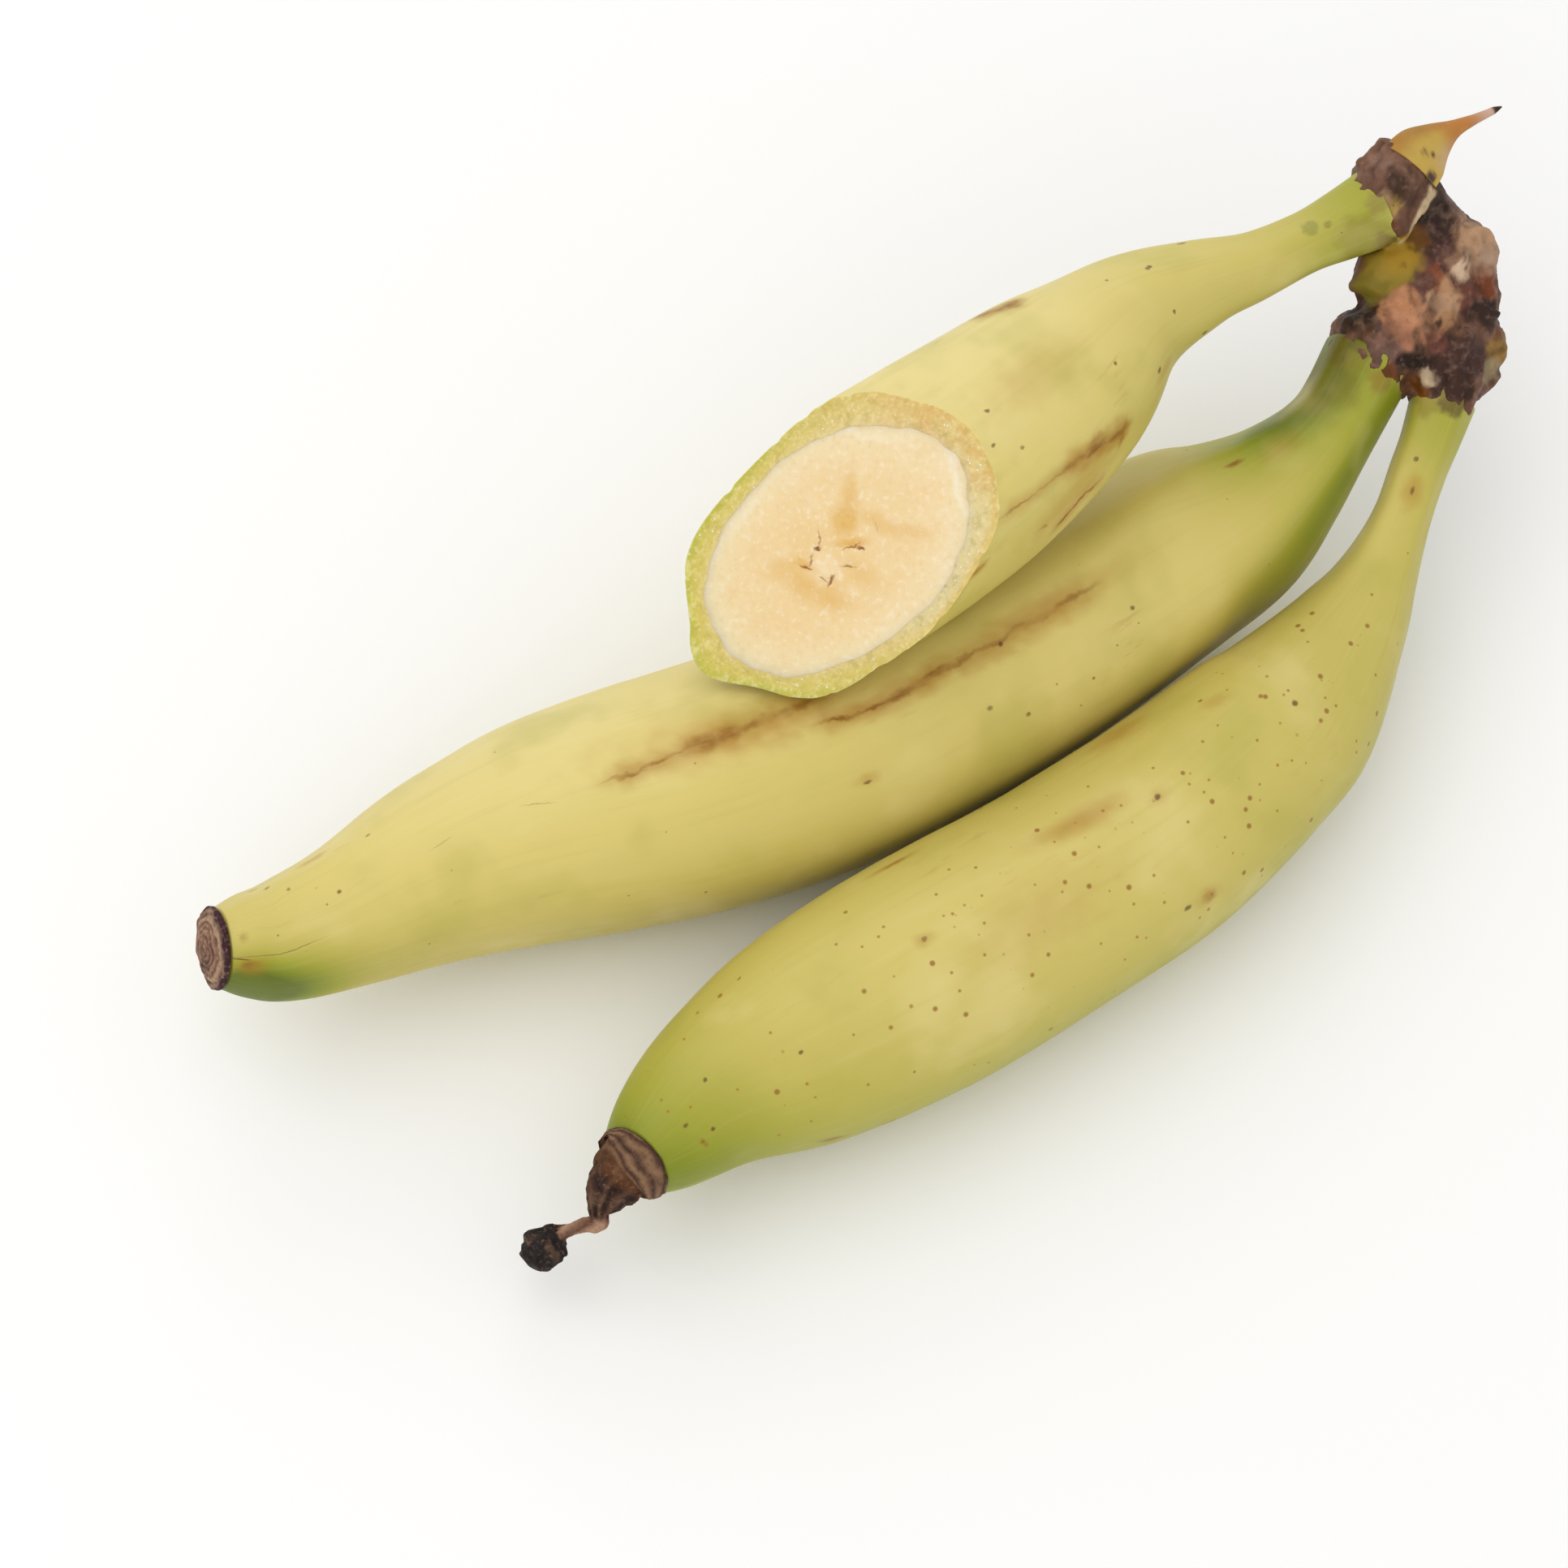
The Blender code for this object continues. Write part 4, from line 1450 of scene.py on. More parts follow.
    def remesh(self, bm: bmesh.types.BMesh) -> bmesh.types.BMesh:
        """Return the mesh rebuilt from small even faces.

        Args:
            bm: The coarse mesh, which is freed.

        Returns:
            The finer mesh.
        """
        mesh = bpy.data.meshes.new("coarse_crown")
        bm.to_mesh(mesh)
        bm.free()
        holder = bpy.data.objects.new("coarse_crown", mesh)
        bpy.context.scene.collection.objects.link(holder)
        modifier = holder.modifiers.new("Remesh", "REMESH")
        modifier.mode = "VOXEL"
        modifier.voxel_size = self.voxel * MM
        bpy.context.view_layer.update()
        evaluated = holder.evaluated_get(bpy.context.evaluated_depsgraph_get())
        finer = bmesh.new()
        finer.from_mesh(evaluated.to_mesh())
        evaluated.to_mesh_clear()
        bpy.data.objects.remove(holder)
        return finer

    @staticmethod
    def cover_of(patches: Sequence[Patch], point: Vector) -> float:
        """Return the strongest cover of several patches at a point."""
        return max(patch.cover(point) for patch in patches)

    def relief(self, point: Vector) -> float:
        """Return how far the crown's surface stands out at a point, in mm."""
        lumps = soft_noise(point, 6.0, 11.0) * 1.2 + soft_noise(point, 3.2, 4.0) * 0.35
        folds = 0.6 * self.fold(point)
        pits = soft_noise(point, 1.3, 2.0) * 0.22
        return lumps - folds + pits + 0.3

    @staticmethod
    def fold(point: Vector) -> float:
        """Return how deep in a crease of the bark a point lies, from 0 to 1."""
        wander = point + noise.noise_vector(point / 4.0) * 1.6
        return ease(0.30, 0.0, abs(soft_noise(wander, 6.5, 30.0)))

    def tone(self, point: Vector) -> Colour:
        """Return the crown's colour at a point, whose patches have wandering edges, with painted shade in the
        bark's creases.
        """
        drift = noise.noise_vector(point / 5.0) * 2.2 + noise.noise_vector(point / 2.1) * 0.8
        moved = point + drift
        tone = linear(self.base)
        for patch in self.patches + self.band + self.stump:
            cover = patch.cover(moved)
            if cover > 0.0:
                tone = blend_colours(tone, linear(patch.colour), cover)
        # random dark mottling, and painted shade in the bark's creases that the relief also sinks; neither
        # reaches the fresh stump
        shade = 0.5 + 0.5 * soft_noise(point, 2.2, 14.0)
        bare = 1.0 - self.cover_of(self.stump, point)
        tone = blend_colours(tone, linear("#1c0f0b"), (0.24 * shade + 0.26 * self.fold(point)) * bare)
        cloud = ease(0.15, 0.7, soft_noise(point, 1.8, 40.0))
        tone = blend_colours(tone, linear("#a88472"), 0.16 * cloud * bare)
        near = min((point - place).length for place in self.fine_edge())
        return blend_colours(tone, linear("#cdb48c"), ease(1.7, 1.1, near))

    def fine_edge(self) -> list[Vector]:
        """Return closely spaced places along the pale torn edge."""
        found = []
        for (start, _), (end, _) in zip(self.torn_edge, self.torn_edge[1:]):
            found += [Vector(start).lerp(Vector(end), step / 4) for step in range(4)]
        return found


@dataclass
class TornStrip:
    """The torn flap of yellow skin that narrows to a curled, black-tipped tail."""

    # each row is a point on the flap's middle line, its half-width and its thickness
    rows: tuple[tuple[Point, float, float], ...] = (
        ((135.0, 20.8, 79.8), 6.9, 1.6), ((139.0, 21.4, 80.6), 6.2, 1.5), ((143.4, 21.6, 80.8), 4.0, 1.3),
        ((147.9, 21.3, 80.8), 2.0, 1.1), ((152.3, 20.5, 80.6), 1.2, 0.9), ((155.9, 19.9, 80.2), 0.9, 0.8),
        ((158.0, 19.6, 80.0), 0.75, 0.6), ((159.9, 19.3, 79.8), 0.2, 0.3),
    )
    # dark specks on the flap, as a place and a radius in mm
    specks: tuple[tuple[Point, float], ...] = (
        ((138.0, 20.4, 81.9), 0.9), ((139.2, 19.4, 81.9), 0.7), ((136.4, 15.6, 80.2), 1.5),
    )
    steps: int = 10
    columns: int = 40
    curl: float = 2.2

    def build(self) -> bpy.types.Object:
        """Build the strip.

        Returns:
            The strip's object.
        """
        form = FruitForm([Station(*point, width, depth, 0.0) for point, width, depth in self.rows])
        rows = int(form.last * self.steps)
        bm, places, tones, dryness = new_dried_grid(rows, self.columns)
        for vert, (share, turn) in zip(bm.verts, places):
            centre, upward, sideways, width, depth, _, _ = form.ring(share * form.last)
            angle = turn * math.tau
            across = math.cos(angle)
            arch = self.curl * (1.0 - across ** 2) * min(1.0, width / 6.0)
            point = centre + sideways * across * width
            point = point + upward * (math.sin(angle) * depth * 0.5 + arch - 0.6)
            point = point + upward * 0.25 * soft_noise(point, 4.0, 3.0)
            vert.co = point * MM
            vert[tones] = self.tone(share, across, point)
            vert[dryness] = 0.15 + 0.85 * ease(0.9, 0.97, share)
        close_up(bm)
        finish = RoughFinish(
            "torn_yellow_skin", light="#e9cf86", dark="#8a5a24", grain_size=2.2, relief=0.25,
            roughness=0.5)
        return place_piece(bm, "torn_flap", [finish.make()], Slot.TORN, "torn_skin_strip")

    def tone(self, share: float, across: float, point: Vector) -> Colour:
        """Return the strip's colour.

        Args:
            share: 0 at the torn edge and 1 at the tail's tip.
            across: -1 to 1 across the strip.
            point: The place in mm.

        Returns:
            The linear colour.
        """
        yellow = blend_colours(linear("#bfa04c"), linear("#a87a34"), ease(0.10, 0.80, -across))
        # pale cream along one side of the flap's broad part: painted highlight
        painted_highlight = 0.8 * ease(0.1, 0.8, across) * ease(0.05, 0.2, share)
        yellow = blend_colours(yellow, linear("#c4a478"), painted_highlight)
        tone = blend_colours(yellow, linear("#b87a3a"), ease(0.22, 0.42, share))
        tone = blend_colours(tone, linear("#caa692"), ease(0.5, 0.75, share))
        tone = blend_colours(tone, linear("#4a2c24"), ease(0.80, 0.86, share))
        tone = blend_colours(tone, linear("#1f1614"), ease(0.86, 0.91, share))
        for centre, radius in self.specks:
            tone = blend_colours(tone, linear("#4a3430"), Patch(centre, radius, "#000000").cover(point))
        return tone


# The dried flower parts.


@dataclass
class FlowerScar:
    """The round, wrinkled scar on the middle fruit's end."""

    end: Vector
    heading: Vector
    # distance past the fruit and radius of each ring of the disc, in mm
    rings: tuple[tuple[float, float], ...] = (
        (0.3, 7.9), (0.7, 8.5), (1.3, 8.6), (1.7, 8.0), (1.6, 7.3), (2.1, 6.6), (2.6, 5.2),
        (2.9, 3.6), (3.1, 2.0), (3.0, 0.0),
    )
    columns: int = 150

    def build(self) -> bpy.types.Object:
        """Build the scar.

        Returns:
            The scar's object.
        """
        sideways = self.heading.cross(UPPER_SIDE).normalized()
        upward = sideways.cross(self.heading).normalized()
        form = FruitForm([Station(far, wide, 0.0, 0.0) for far, wide in self.rings])
        rows = int(form.last * 6)
        bm, places, tones, dryness = new_dried_grid(rows, self.columns)
        for vert, (share, turn) in zip(bm.verts, places):
            far, wide = form.row(share * form.last)[:2]
            wide = max(wide, 0.0)
            angle = turn * math.tau
            out = upward * math.cos(angle) + sideways * math.sin(angle)
            point = self.end + self.heading * far + out * wide
            fine = 0.35 * soft_noise(point, 1.6, 4.0) + 0.45 * soft_noise(point, 3.6, 9.0)
            rings = 0.16 * math.sin(wide * 4.2 + 2.5 * soft_noise(point, 3.0, 1.0))
            point = point + self.heading * (fine + rings) * ease(0.1, 0.3, share)
            point = point + out * 0.25 * soft_noise(point, 2.4, 6.0)
            vert.co = point * MM
            vert[tones] = self.tone(point, wide, angle)
            vert[dryness] = 1.0
        close_up(bm)
        finish = RoughFinish(
            "dried_flower_scar", light="#c8a68a", dark="#2e1a18", grain_size=1.0, relief=0.8,
            roughness=0.8)
        return place_piece(bm, "flower_scar", [finish.make()], Slot.DRIED, "middle_flower_scar")

    def tone(self, point: Vector, wide: float, angle: float) -> Colour:
        """Return the scar's colour: a double dark rim, a pale ring and a ringed brown middle."""
        ringed = 0.5 + 0.5 * math.sin(wide * 4.2 + 2.5 * soft_noise(point, 3.0, 1.0))
        tone = blend_colours(linear("#6e4c3c"), linear("#9a7660"), ringed)
        tone = blend_colours(tone, linear("#b4957a"), ease(5.4, 6.4, wide) * 0.8)
        tone = blend_colours(tone, linear("#5c3c3a"), ease(6.7, 7.1, wide) * 0.7)
        tone = blend_colours(tone, linear("#a08068"), ease(7.2, 7.5, wide) * 0.6)
        tone = blend_colours(tone, linear("#3e2228"), ease(7.7, 8.2, wide))
        low = ease(0.2, -0.8, math.cos(angle - 0.6))
        return blend_colours(tone, linear("#54403a"), 0.6 * low * ease(0.0, 0.5, soft_noise(point, 4.0, 2.0)))


@dataclass
class FlowerRemnant:
    """The dried flower that hangs from the lower fruit's end: cap, bulb, stalk and knob."""

    end: Vector
    heading: Vector
    # the cap is given as distance past the fruit and radius, the rest as a point and a radius
    cap: tuple[tuple[float, float], ...] = ((0.2, 7.9), (0.9, 8.4), (1.9, 7.9))
    body: tuple[tuple[Point, float], ...] = (
        ((-120.6, -31.5, 29.9), 6.6), ((-121.6, -31.6, 29.4), 5.9), ((-123.2, -31.8, 28.4), 5.6),
        ((-125.2, -32.0, 27.2), 4.9), ((-127.3, -32.7, 26.0), 3.7), ((-129.1, -33.4, 24.8), 2.1),
        ((-129.9, -34.4, 23.4), 1.7), ((-130.8, -34.0, 22.0), 1.5), ((-132.8, -32.0, 20.0), 1.5),
        ((-135.8, -29.8, 17.0), 1.6), ((-136.9, -29.4, 16.3), 2.4), ((-137.9, -29.2, 15.6), 3.5),
        ((-139.4, -29.2, 14.8), 4.2), ((-141.0, -29.2, 14.2), 4.3), ((-143.5, -29.2, 13.4), 3.3),
        ((-144.6, -29.3, 13.1), 1.5), ((-144.9, -29.3, 13.0), 0.0),
    )
    steps: int = 12
    columns: int = 110

    def build(self) -> bpy.types.Object:
        """Build the remnant.

        Returns:
            The remnant's object.
        """
        start = [Station(*(self.end + self.heading * far), wide) for far, wide in self.cap]
        form = FruitForm(start + [Station(*point, radius) for point, radius in self.body])
        rows = int(form.last * self.steps)
        bm, places, tones, dryness = new_dried_grid(rows, self.columns)
        rings = {}
        for vert, (share, turn) in zip(bm.verts, places):
            key = round(share * rows)
            along = share * form.last
            if key not in rings:
                rings[key] = form.ring(along)
            centre, upward, sideways, radius, _, _, _ = rings[key]
            angle = turn * math.tau
            out = upward * math.cos(angle) + sideways * math.sin(angle)
            radius = max(radius, 0.0)
            point = centre + out * radius
            point = point + out * self.relief(point, along, angle) * min(1.0, radius / 1.5)
            vert.co = point * MM
            vert[tones] = self.tone(point, along, angle)
            vert[dryness] = 1.0
        close_up(bm)
        finish = RoughFinish(
            "dried_flower_husk", light="#9a7658", dark="#1f1512", grain_size=0.9, relief=0.8,
            roughness=0.8, contrast=0.4)
        return place_piece(bm, "flower_husk", [finish.make()], Slot.DRIED, "lower_flower_remnant")

    def relief(self, point: Vector, along: float, angle: float) -> float:
        """Return how far the husk's surface stands out at a place, in mm."""
        stalk = ease(8.0, 9.0, along) * ease(13.0, 12.0, along)
        knob = ease(12.5, 14.0, along)
        wrinkles = 0.45 * soft_noise(point, 2.2, 5.0) + 0.22 * soft_noise(point, 0.9, 3.0)
        twist = 0.35 * math.cos(2.0 * angle + along * 1.6)
        lumps = 1.5 * soft_noise(point, 2.8, 12.0) + 0.6 * soft_noise(point, 1.2, 2.0)
        ribs = 0.30 * math.sin(9.0 * angle + 3.0 * soft_noise(point, 4.0, 1.0)) * ease(2.0, 4.0, along)
        return (wrinkles + ribs) * (1.0 - knob) * (1.0 - 0.6 * stalk) + twist * stalk + lumps * knob

    def tone(self, point: Vector, along: float, angle: float) -> Colour:
        """Return the husk's colour: ringed brown cap, dark bulb with painted light on its ribs and painted
        shade in its grooves, tan stalk and black knob.
        """
        ringed = 0.5 + 0.5 * math.sin(along * 13.0 + 2.0 * soft_noise(point, 3.0, 7.0))
        ledge = blend_colours(linear("#8e6c50"), linear("#4a3026"), ringed)
        tone = blend_colours(linear("#3c2022"), ledge, ease(0.8, 1.5, along))
        tone = blend_colours(tone, linear("#5e3a20"), ease(2.4, 3.2, along))
        # the bulb's ribs, which the relief also raises: lighter on the ribs and darker in the grooves, as
        # painted light and shade
        rib_light_and_shade = 0.5 + 0.5 * math.sin(9.0 * angle + 3.0 * soft_noise(point, 4.0, 1.0))
        bulb = blend_colours(linear("#2a1a16"), linear("#5a3c2c"), rib_light_and_shade * rib_light_and_shade)
        tone = blend_colours(tone, bulb, ease(3.8, 5.2, along))
        stalk = ease(8.2, 9.0, along) * ease(12.4, 11.6, along)
        strand = 0.5 + 0.5 * math.sin(angle * 2 + along * 1.6)
        tan = blend_colours(linear("#6e4a3c"), linear("#b58f74"), strand)
        tone = blend_colours(tone, tan, stalk)
        return blend_colours(tone, linear("#262020"), ease(12.2, 12.9, along))


# The whole hand and the studio.


def middle_painter() -> SkinPainter:
    """Return the middle fruit's form, marks and shades."""
    form = FruitForm([
        Station(111.1, 3.3, 50.2, 9.6, 4.6, 10), Station(96.8, -1.8, 46.0, 9.3, 6.6, 10),
        Station(84.1, -2.7, 40.0, 12.7, 7.4, 12), Station(71.1, -1.2, 34.0, 17.5, 6.8, 8),
        Station(56.4, 2.5, 29.5, 21.2, 5.6, -6), Station(32.5, 5.9, 25.9, 23.8, 4.2, -12),
        Station(6.2, 9.8, 25.0, 25.4, 4.0, -14), Station(-22.4, 14.8, 24.9, 25.9, 4.0, -14),
        Station(-45.7, 22.1, 24.9, 25.9, 4.0, -12), Station(-68.1, 31.5, 25.2, 25.0, 4.0, -8),
        Station(-86.6, 39.3, 25.6, 23.0, 4.0, -4), Station(-106.9, 45.2, 26.5, 19.2, 4.2, 0),
        Station(-127.8, 48.8, 28.0, 14.8, 4.4, 6), Station(-141.8, 52.1, 30.0, 12.5, 4.8, 10),
        Station(-149.5, 55.1, 32.6, 10.6, 4.6, 10), Station(-154.4, 57.2, 34.6, 8.4, 4.0, 10),
    ])
    finish = SkinFinish(
        "green_yellow_skin_middle",
        trails=(
            Trail(((9.2, 15), (8.85, 17), (8.5, 19)), 0.4, 2.2, 0.9),
            Trail(((8.5, 19), (8.25, 20), (8.05, 21)), 1.5, 3.0),
            Trail(((8.05, 21), (7.7, 22), (7.3, 22)), 0.8, 3.6, 0.8),
            Trail(((7.35, 11), (7.1, 9), (6.85, 8)), 0.35, 1.8),
            Trail(((6.85, 8), (6.6, 8), (6.35, 8)), 0.8, 2.2),
            Trail(((6.35, 8), (6.1, 8), (5.8, 8)), 0.5, 2.6, 0.8),
            Trail(((5.8, 8), (5.4, 8), (5.0, 8)), 0.6, 2.8, 0.7),
        ),
        stains=(
            Mark(7.9, 21, 26, 5.0, 3, 0.40), Mark(5.6, 8, 26, 3.0, 0, 0.35),
            Mark(14.33, -24, 3.2, 2.0, 0, 0.5), Mark(12.25, 70, 3.0, 1.2, 0, 0.6),
            Mark(1.83, 26, 4.0, 2.0, 0, 0.4), Mark(7.2, -20, 2.2, 1.2, 0, 0.5),
        ),
        streaks=(
            Mark(13.71, 82, 1.2, 0.45, 6), Mark(13.38, 66, 1.1, 0.5, -6), Mark(14.54, 12, 0.7, 0.9, 0),
            Mark(14.33, -24, 1.4, 0.8, 20, 0.8), Mark(2.5, 36, 2.0, 0.4, 0),
        ),
        specks=(
            Mark(5.92, 6, 0.5, 0.5), Mark(4.75, -12, 0.5, 0.5), Mark(6.21, -18, 0.6, 0.5),
            Mark(5.96, -30, 0.5, 0.45), Mark(10.04, 14, 3.5, 0.10, 14, 0.5),
            Mark(11.08, 14, 2.4, 0.10, -10, 0.5), Mark(13.6, -12, 9.0, 0.12, -4, 0.7),
            Mark(14.7, -16, 2.0, 0.14, 10), Mark(12.2, 20, 0.5, 0.4), Mark(12.9, 44, 0.5, 0.4),
            Mark(7.2, -22, 0.8, 0.4), Mark(11.6, 48, 0.5, 0.3),
        ),
        freckle_size=0.42,
    )
    # Tint(1.0, 60) paints the upper fruit's shadow on the neck's upper facet; Tint(2.2, -62) is greener skin
    # darkened further as painted shade on the neck facet beside the lower fruit; Tint(7.4, -64) is painted
    # shade along the edge beside the lower fruit.
    tints = [
        Tint(0.0, 0, 1.7, 400, -0.34), Tint(1.0, 60, 1.8, 48, -0.66), Tint(2.2, -62, 1.8, 36, -0.42),
        Tint(1.6, -20, 1.6, 30, 0.02), Tint(9.8, 40, 2.6, 60, 0.13), Tint(9.0, 100, 4.0, 60, 0.10),
        Tint(4.8, -30, 1.8, 50, 0.12), Tint(14.2, -62, 1.5, 42, -1.15), Tint(14.6, -110, 1.4, 40, -0.15),
        Tint(7.4, -64, 3.6, 30, -0.06), Tint(7.0, 180, 20.0, 60, -0.22),
    ]
    freckles = [Tint(13.6, -10, 1.6, 50, 0.8), Tint(7.0, 0, 6.0, 80, 0.10)]
    bark = (
        Patch((98.0, 4.4, 55.6), 9.0, "#6f6604", 0.62, 0.25),
        Patch((106.0, 5.4, 58.4), 5.0, "#5e4c08", 0.55, 0.3),
        Patch((104.4, 1.4, 58.2), 2.6, "#8c8420", 0.5, 0.4),
        Patch((106.4, -4.6, 56.6), 2.8, "#8a6a24", 0.6, 0.4),
    )
    return SkinPainter(form, finish, ripeness=0.72, tints=tints, freckles=freckles, bark=bark)


def lower_painter() -> SkinPainter:
    """Return the lower fruit's form, marks and shades."""
    form = FruitForm([
        Station(118.3, -12.6, 45.6, 6.9, 4.2, 10), Station(110.5, -17.2, 44.0, 6.2, 4.6, 10),
        Station(104.1, -20.5, 41.0, 6.0, 4.8, 8), Station(95.6, -25.2, 37.0, 6.3, 4.8, 6),
        Station(85.7, -29.9, 32.0, 8.4, 4.6, 4), Station(75.3, -33.8, 28.2, 12.0, 4.2, 0),
        Station(54.5, -39.6, 24.2, 18.8, 3.9, -4), Station(39.5, -41.3, 23.8, 21.1, 3.8, -6),
        Station(11.9, -42.4, 23.3, 23.3, 3.8, -8), Station(-18.1, -39.6, 23.1, 23.9, 3.8, -8),
        Station(-47.0, -35.6, 23.6, 24.5, 3.8, -8), Station(-74.9, -31.0, 24.1, 22.0, 3.8, -8),
        Station(-94.3, -28.6, 25.0, 16.6, 4.0, -8), Station(-109.1, -29.9, 27.0, 12.3, 4.0, -8),
        Station(-117.7, -31.3, 29.5, 8.3, 3.8, -8),
    ])
    finish = SkinFinish(
        "green_yellow_skin_lower",
        stains=(
            Mark(8.62, 30, 9.0, 2.4, 6, 0.75), Mark(7.83, 72, 7.0, 3.4, 0, 0.6),
            Mark(9.25, 0, 14, 6.0, 0, 0.28), Mark(2.46, 4, 3.0, 2.0, 0, 0.6),
            Mark(9.83, 74, 5.0, 1.0, 0, 0.7), Mark(8.08, 18, 1.8, 1.4, 0, 0.6),
            Mark(8.12, -40, 2.0, 1.8, 0, 0.7), Mark(10.04, 18, 1.4, 1.2, 0, 0.6),
            Mark(7.2, 40, 3.0, 1.4, 20, 0.4),
        ),
        streaks=(
            Mark(11.21, -74, 2.6, 1.2, 24), Mark(10.67, -84, 1.3, 0.7, 0), Mark(9.33, -84, 1.4, 0.6, 0),
            Mark(9.83, 74, 2.6, 0.5, 4), Mark(8.12, -40, 1.1, 1.0, 0), Mark(13.0, -28, 1.6, 0.3, 80),
        ),
        specks=(
            Mark(8.08, 18, 0.7, 0.6), Mark(8.29, -38, 0.8, 0.5), Mark(6.62, 8, 0.7, 0.6),
            Mark(1.75, 18, 0.6, 0.5), Mark(11.25, -2, 0.5, 0.4), Mark(12.75, -22, 0.5, 0.4),
            Mark(12.4, 14, 0.45, 0.4), Mark(13.1, -4, 0.6, 0.4), Mark(10.04, 18, 0.6, 0.5),
            Mark(2.46, 4, 0.9, 0.4),
        ),
        freckle_size=0.62,
    )
    # Tint(14.4, 70) is painted shadow: a darker green patch on the upper side of the fruit's end.
    tints = [
        Tint(0.4, 30, 1.6, 400, -0.22), Tint(2.6, 60, 1.8, 50, 0.12), Tint(9.5, 20, 2.4, 60, 0.12),
        Tint(14.2, 0, 1.9, 400, -0.34), Tint(12.6, -60, 2.2, 50, -0.16), Tint(8.0, -80, 4.0, 30, -0.15),
        Tint(7.0, 180, 20.0, 60, -0.22), Tint(6.5, 90, 2.4, 40, 0.08), Tint(14.4, 70, 0.9, 40, -0.30),
    ]
    freckles = [
        Tint(5.6, -20, 1.5, 55, 1.2), Tint(7.6, 10, 1.8, 55, 0.9), Tint(9.4, 0, 1.8, 50, 0.8),
        Tint(12.8, -10, 1.5, 50, 0.7), Tint(8.0, 0, 6.0, 90, 0.15),
    ]
    bark = (
        Patch((113.0, -13.0, 51.4), 3.4, "#8e7a2a", 0.6, 0.4),
        Patch((116.4, -16.4, 51.4), 3.0, "#4e3018", 0.7, 0.4),
    )
    return SkinPainter(form, finish, ripeness=0.63, tints=tints, freckles=freckles, bark=bark)


def upper_painter() -> SkinPainter:
    """Return the upper fruit's form, marks and shades."""
    form = FruitForm([
        Station(127.0, 20.6, 72.0, 8.4, 4.5, -24), Station(117.9, 23.0, 70.5, 7.1, 5.0, -24),
        Station(109.6, 25.3, 69.5, 6.4, 5.0, -26), Station(97.7, 27.9, 69.5, 7.2, 5.0, -28),
        Station(86.3, 31.5, 70.0, 9.2, 5.0, -26), Station(68.9, 34.2, 70.9, 13.7, 4.6, -16),
        Station(47.5, 31.1, 72.8, 20.2, 4.2, -8), Station(17.9, 29.4, 74.6, 24.0, 4.0, -4),
        Station(-13.0, 30.3, 76.4, 25.1, 4.0, -4), Station(-41.2, 30.8, 77.4, 24.7, 4.0, -4),
        Station(-61.8, 31.2, 77.4, 24.3, 4.0, -4),
    ], cut_ridges=(
        (69.0, 0.11), (-36.0, 0.05), (-82.0, 0.06), (-120.0, 0.12), (-171.0, 0.12), (139.0, 0.09)))
    finish = SkinFinish(
        "pale_yellow_skin_upper",
        trails=(
            Trail(((6.0, 60), (6.15, 63), (6.33, 69)), 1.3, 2.4),
            Trail(((6.1, -49), (6.3, -45), (6.5, -41), (6.68, -38)), 0.9, 2.6),
            Trail(((6.68, -38), (6.95, -37), (7.2, -36)), 0.25, 1.6, 0.6),
            Trail(((6.4, -68), (6.55, -67), (6.68, -68), (6.83, -72)), 0.45, 2.0),
            Trail(((6.1, -47), (6.17, -56)), 0.5, 1.0), Trail(((7.42, -55), (7.54, -57)), 0.35, 1.0),
        ),
        stains=(
            Mark(6.6, -58, 12, 4.0, -12, 0.45), Mark(5.4, -50, 4.0, 1.0, 0, 0.4),
            Mark(6.5, 12, 10.0, 5.0, 0, 0.30),
        ),
        streaks=(Mark(6.42, -40, 2.2, 1.1, -12, 1.0), Mark(6.95, -62, 1.2, 0.4, 30, 0.7)),
        specks=(
            Mark(4.08, 70, 0.9, 0.4), Mark(4.71, 34, 0.5, 0.5), Mark(4.75, -18, 0.5, 0.5),
            Mark(5.92, -14, 0.4, 0.4), Mark(5.54, -44, 0.8, 0.5), Mark(4.33, -62, 0.8, 0.4),
            Mark(1.4, 10, 0.9, 0.7, 0, 0.5), Mark(6.88, -14, 0.5, 0.4), Mark(7.04, -4, 0.5, 0.4),
            Mark(7.15, -10, 0.4, 0.35), Mark(6.92, 12, 0.6, 0.4, 30), Mark(4.75, 32, 0.5, 0.5),
        ),
        freckle_size=0.4,
    )
    tints = [
        Tint(0.0, 0, 2.2, 400, -0.34), Tint(1.6, -70, 1.8, 50, -0.16), Tint(6.4, 10, 1.2, 50, 0.10),
        Tint(8.4, 60, 2.4, 60, 0.14), Tint(5.5, 180, 20.0, 60, -0.20), Tint(5.0, -70, 1.4, 40, -0.10),
        Tint(6.6, 80, 1.4, 40, 0.10),
    ]
    bark = (
        Patch((122.4, 14.4, 72.6), 2.8, "#572a04", 0.95, 0.4),
        Patch((121.4, 13.2, 70.0), 1.8, "#4c2200", 0.9, 0.4),
        Patch((118.6, 16.4, 73.4), 6.0, "#857a20", 0.6, 0.3),
        Patch((123.6, 18.6, 79.6), 2.4, "#8e7a3c", 0.6, 0.4),
        Patch((110.4, 24.6, 76.2), 1.8, "#86863a", 0.6, 0.3),
    )
    freckles = [Tint(6.0, 0, 5.0, 120, 0.08)]
    return SkinPainter(form, finish, ripeness=0.73, tints=tints, freckles=freckles, bark=bark)


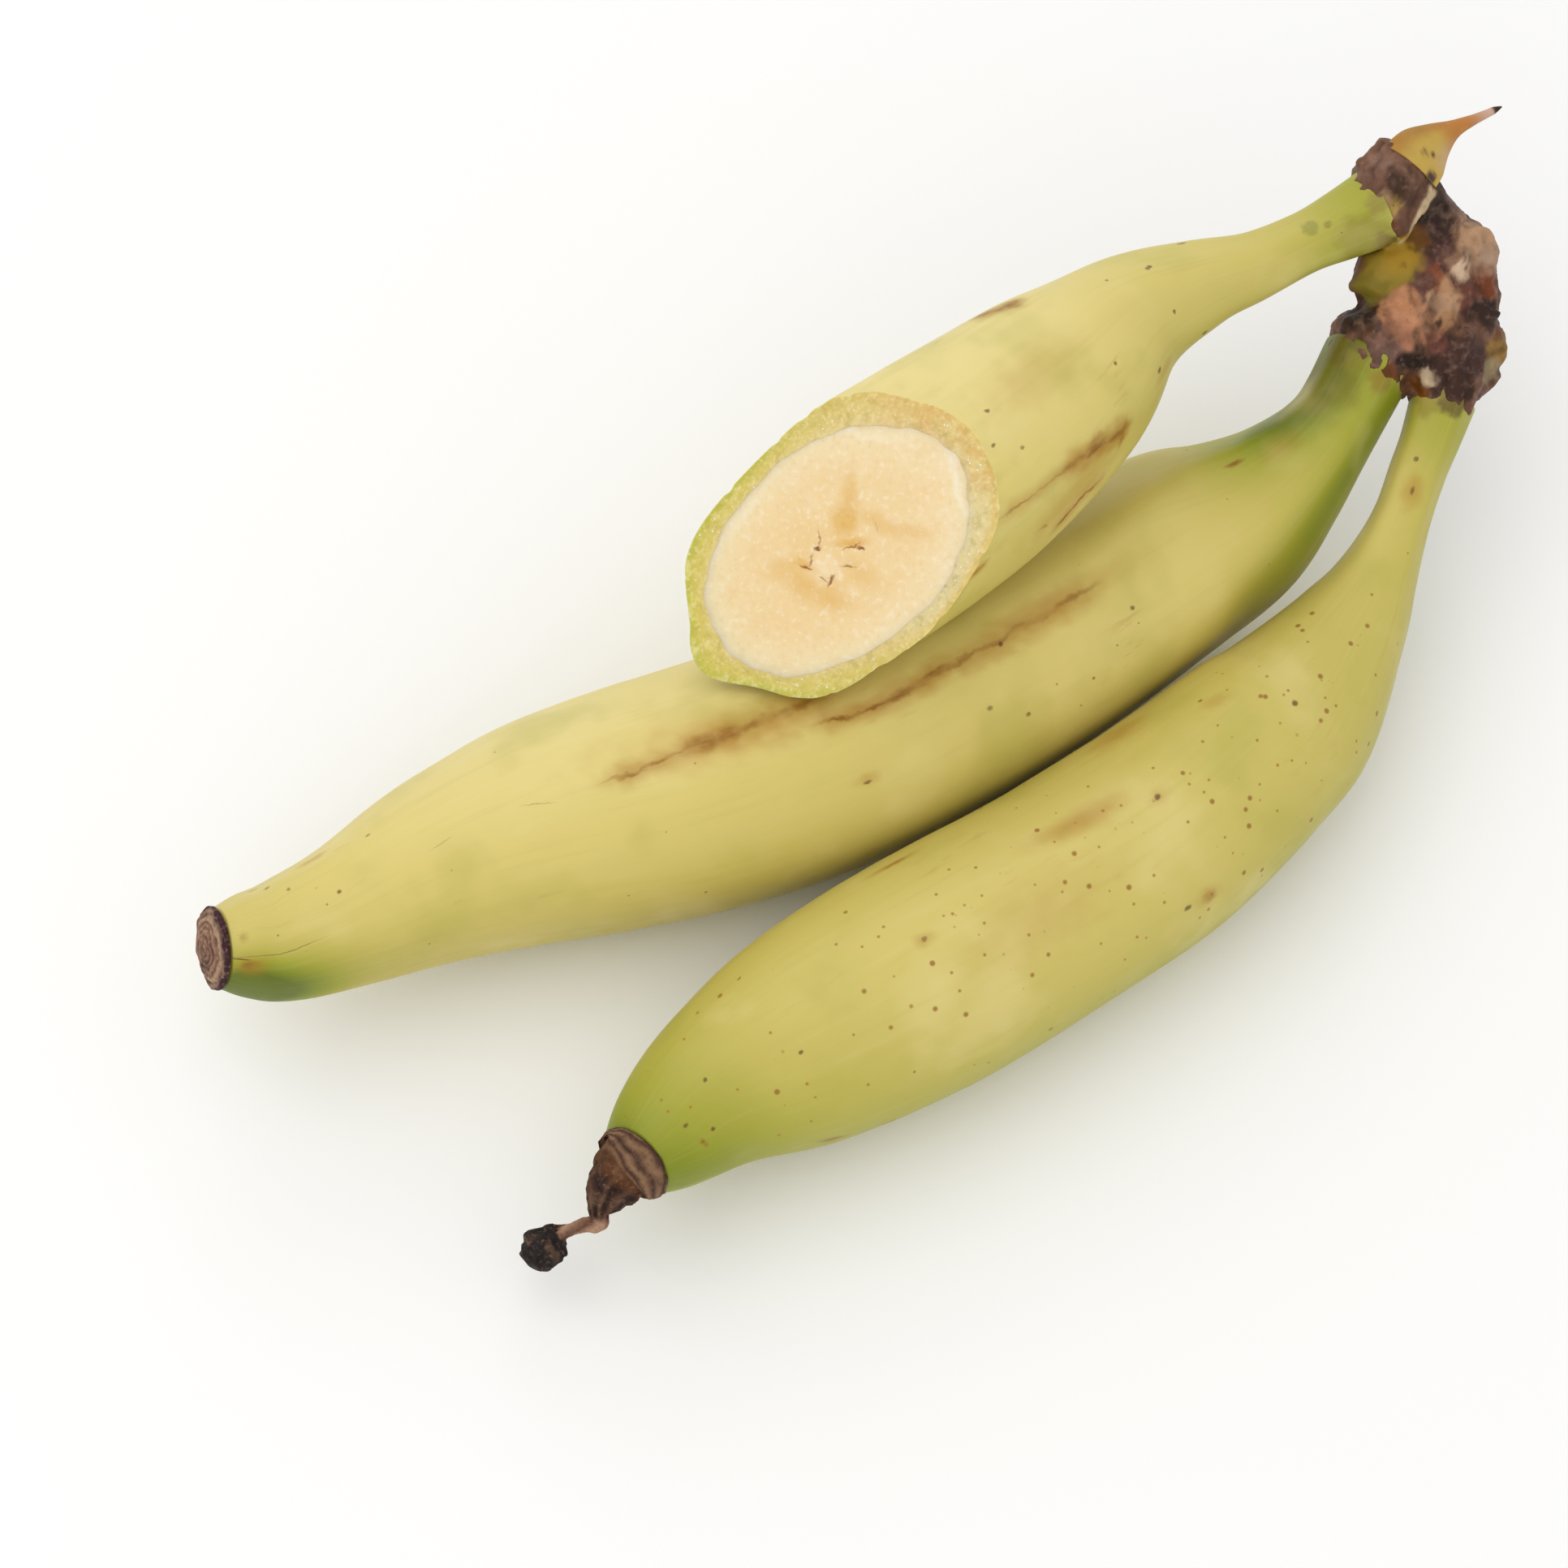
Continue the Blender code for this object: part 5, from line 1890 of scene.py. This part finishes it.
@dataclass
class Studio:
    """A pale floor, soft light from above and a camera that looks down on the hand."""

    target: Point = (-41.6, 13.6, 30.0)
    azimuth: float = -40.0
    elevation: float = 64.0
    distance: float = 1.0
    lens: float = 111.0
    floor_size: float = 6.0
    world_strength: float = 0.79
    lights: tuple[tuple[str, Point, float, float, str], ...] = (
        ("overhead_light", (-0.35, 0.35, 1.5), 1.6, 6.0, "#fffdf8"),
        ("side_light", (-1.3, -0.7, 0.9), 1.2, 3.0, "#fffaf2"),
        ("back_light", (0.9, 1.2, 0.8), 1.0, 2.5, "#f8fbff"),
    )

    def build(self) -> None:
        """Build the floor, the lights, the world and the camera."""
        self.build_floor()
        for name, place, size, power, colour in self.lights:
            self.add_light(name, Vector(place), size, power, colour)
        self.light_world()
        self.add_camera()

    def build_floor(self) -> None:
        """Build the plain pale floor."""
        bm = bmesh.new()
        bmesh.ops.create_grid(bm, x_segments=2, y_segments=2, size=self.floor_size / 2)
        mesh = bpy.data.meshes.new("floor")
        bm.to_mesh(mesh)
        bm.free()
        floor = bpy.data.objects.new("floor", mesh)
        bpy.context.scene.collection.objects.link(floor)
        paint = Paint("matt_white_floor")
        # a nearly even white that shows only soft shadows
        shade = paint.grain((900.0, 900.0, 900.0), 1.0)
        paint.colour = add_node(
            paint.tree, "ShaderNodeMix",
            {0: shade, 6: linear("#fafafa"), 7: linear("#fcfcfc")}, data_type="RGBA").outputs[2]
        mesh.materials.append(paint.finish(0.9))

    def add_light(self, name: str, place: Vector, size: float, power: float, colour: str) -> None:
        """Add a square area light that faces the hand.

        Args:
            name: The light's name.
            place: Where it stands, in metres.
            size: The length of its side, in metres.
            power: Its power in watts.
            colour: Its colour as a hex code.
        """
        data = bpy.data.lights.new(name, "AREA")
        data.size = size
        data.energy = power
        data.color = linear(colour)[:3]
        light = bpy.data.objects.new(name, data)
        light.location = place
        light.rotation_euler = (Vector((0.0, 0.0, 0.03)) - place).to_track_quat("-Z", "Y").to_euler()
        bpy.context.scene.collection.objects.link(light)

    def light_world(self) -> None:
        """Give the surroundings an even white light."""
        world = bpy.data.worlds.new("white_studio")
        world.use_nodes = True
        background = world.node_tree.nodes["Background"]
        background.inputs["Color"].default_value = linear("#ffffff")
        background.inputs["Strength"].default_value = self.world_strength
        bpy.context.scene.world = world
        bpy.context.scene.view_settings.view_transform = "Standard"

    def add_camera(self) -> None:
        """Add the camera and make it the scene's own."""
        turn = math.radians(self.azimuth)
        rise = math.radians(self.elevation)
        side = Vector((math.sin(turn), -math.cos(turn), 0.0)) * math.cos(rise)
        outward = side + Vector((0.0, 0.0, math.sin(rise)))
        data = bpy.data.cameras.new("camera")
        data.lens = self.lens
        data.sensor_width = 36.0
        data.clip_start = 0.05
        camera = bpy.data.objects.new("camera", data)
        camera.location = Vector(self.target) * MM + outward * self.distance
        camera.rotation_euler = (-outward).to_track_quat("-Z", "Y").to_euler()
        bpy.context.scene.collection.objects.link(camera)
        bpy.context.scene.camera = camera


def fruit_end(form: FruitForm) -> tuple[Vector, Vector]:
    """Return the middle of a fruit's far end and the direction that it points in."""
    last = Vector(form.row(form.last)[:3])
    before = Vector(form.row(form.last - 0.5)[:3])
    return last, (last - before).normalized()


def main() -> None:
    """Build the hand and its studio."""
    noise.seed_set(NOISE_SEED)
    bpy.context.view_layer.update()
    middle = middle_painter()
    lower = lower_painter()
    upper = upper_painter()
    WholeFruit("middle_fruit_skin", "middle_fruit", middle).build()
    WholeFruit("lower_fruit_skin", "lower_fruit", lower).build()
    CutFruit(upper, CutPlane(CUT_CENTRE, turn=CUT_TURN, rise=CUT_RISE)).build()
    Crown().build()
    TornStrip().build()
    FlowerScar(*fruit_end(middle.form)).build()
    FlowerRemnant(*fruit_end(lower.form)).build()
    Studio().build()


if __name__ == "__main__":
    logging.basicConfig(level=logging.INFO, format="%(message)s")
    main()
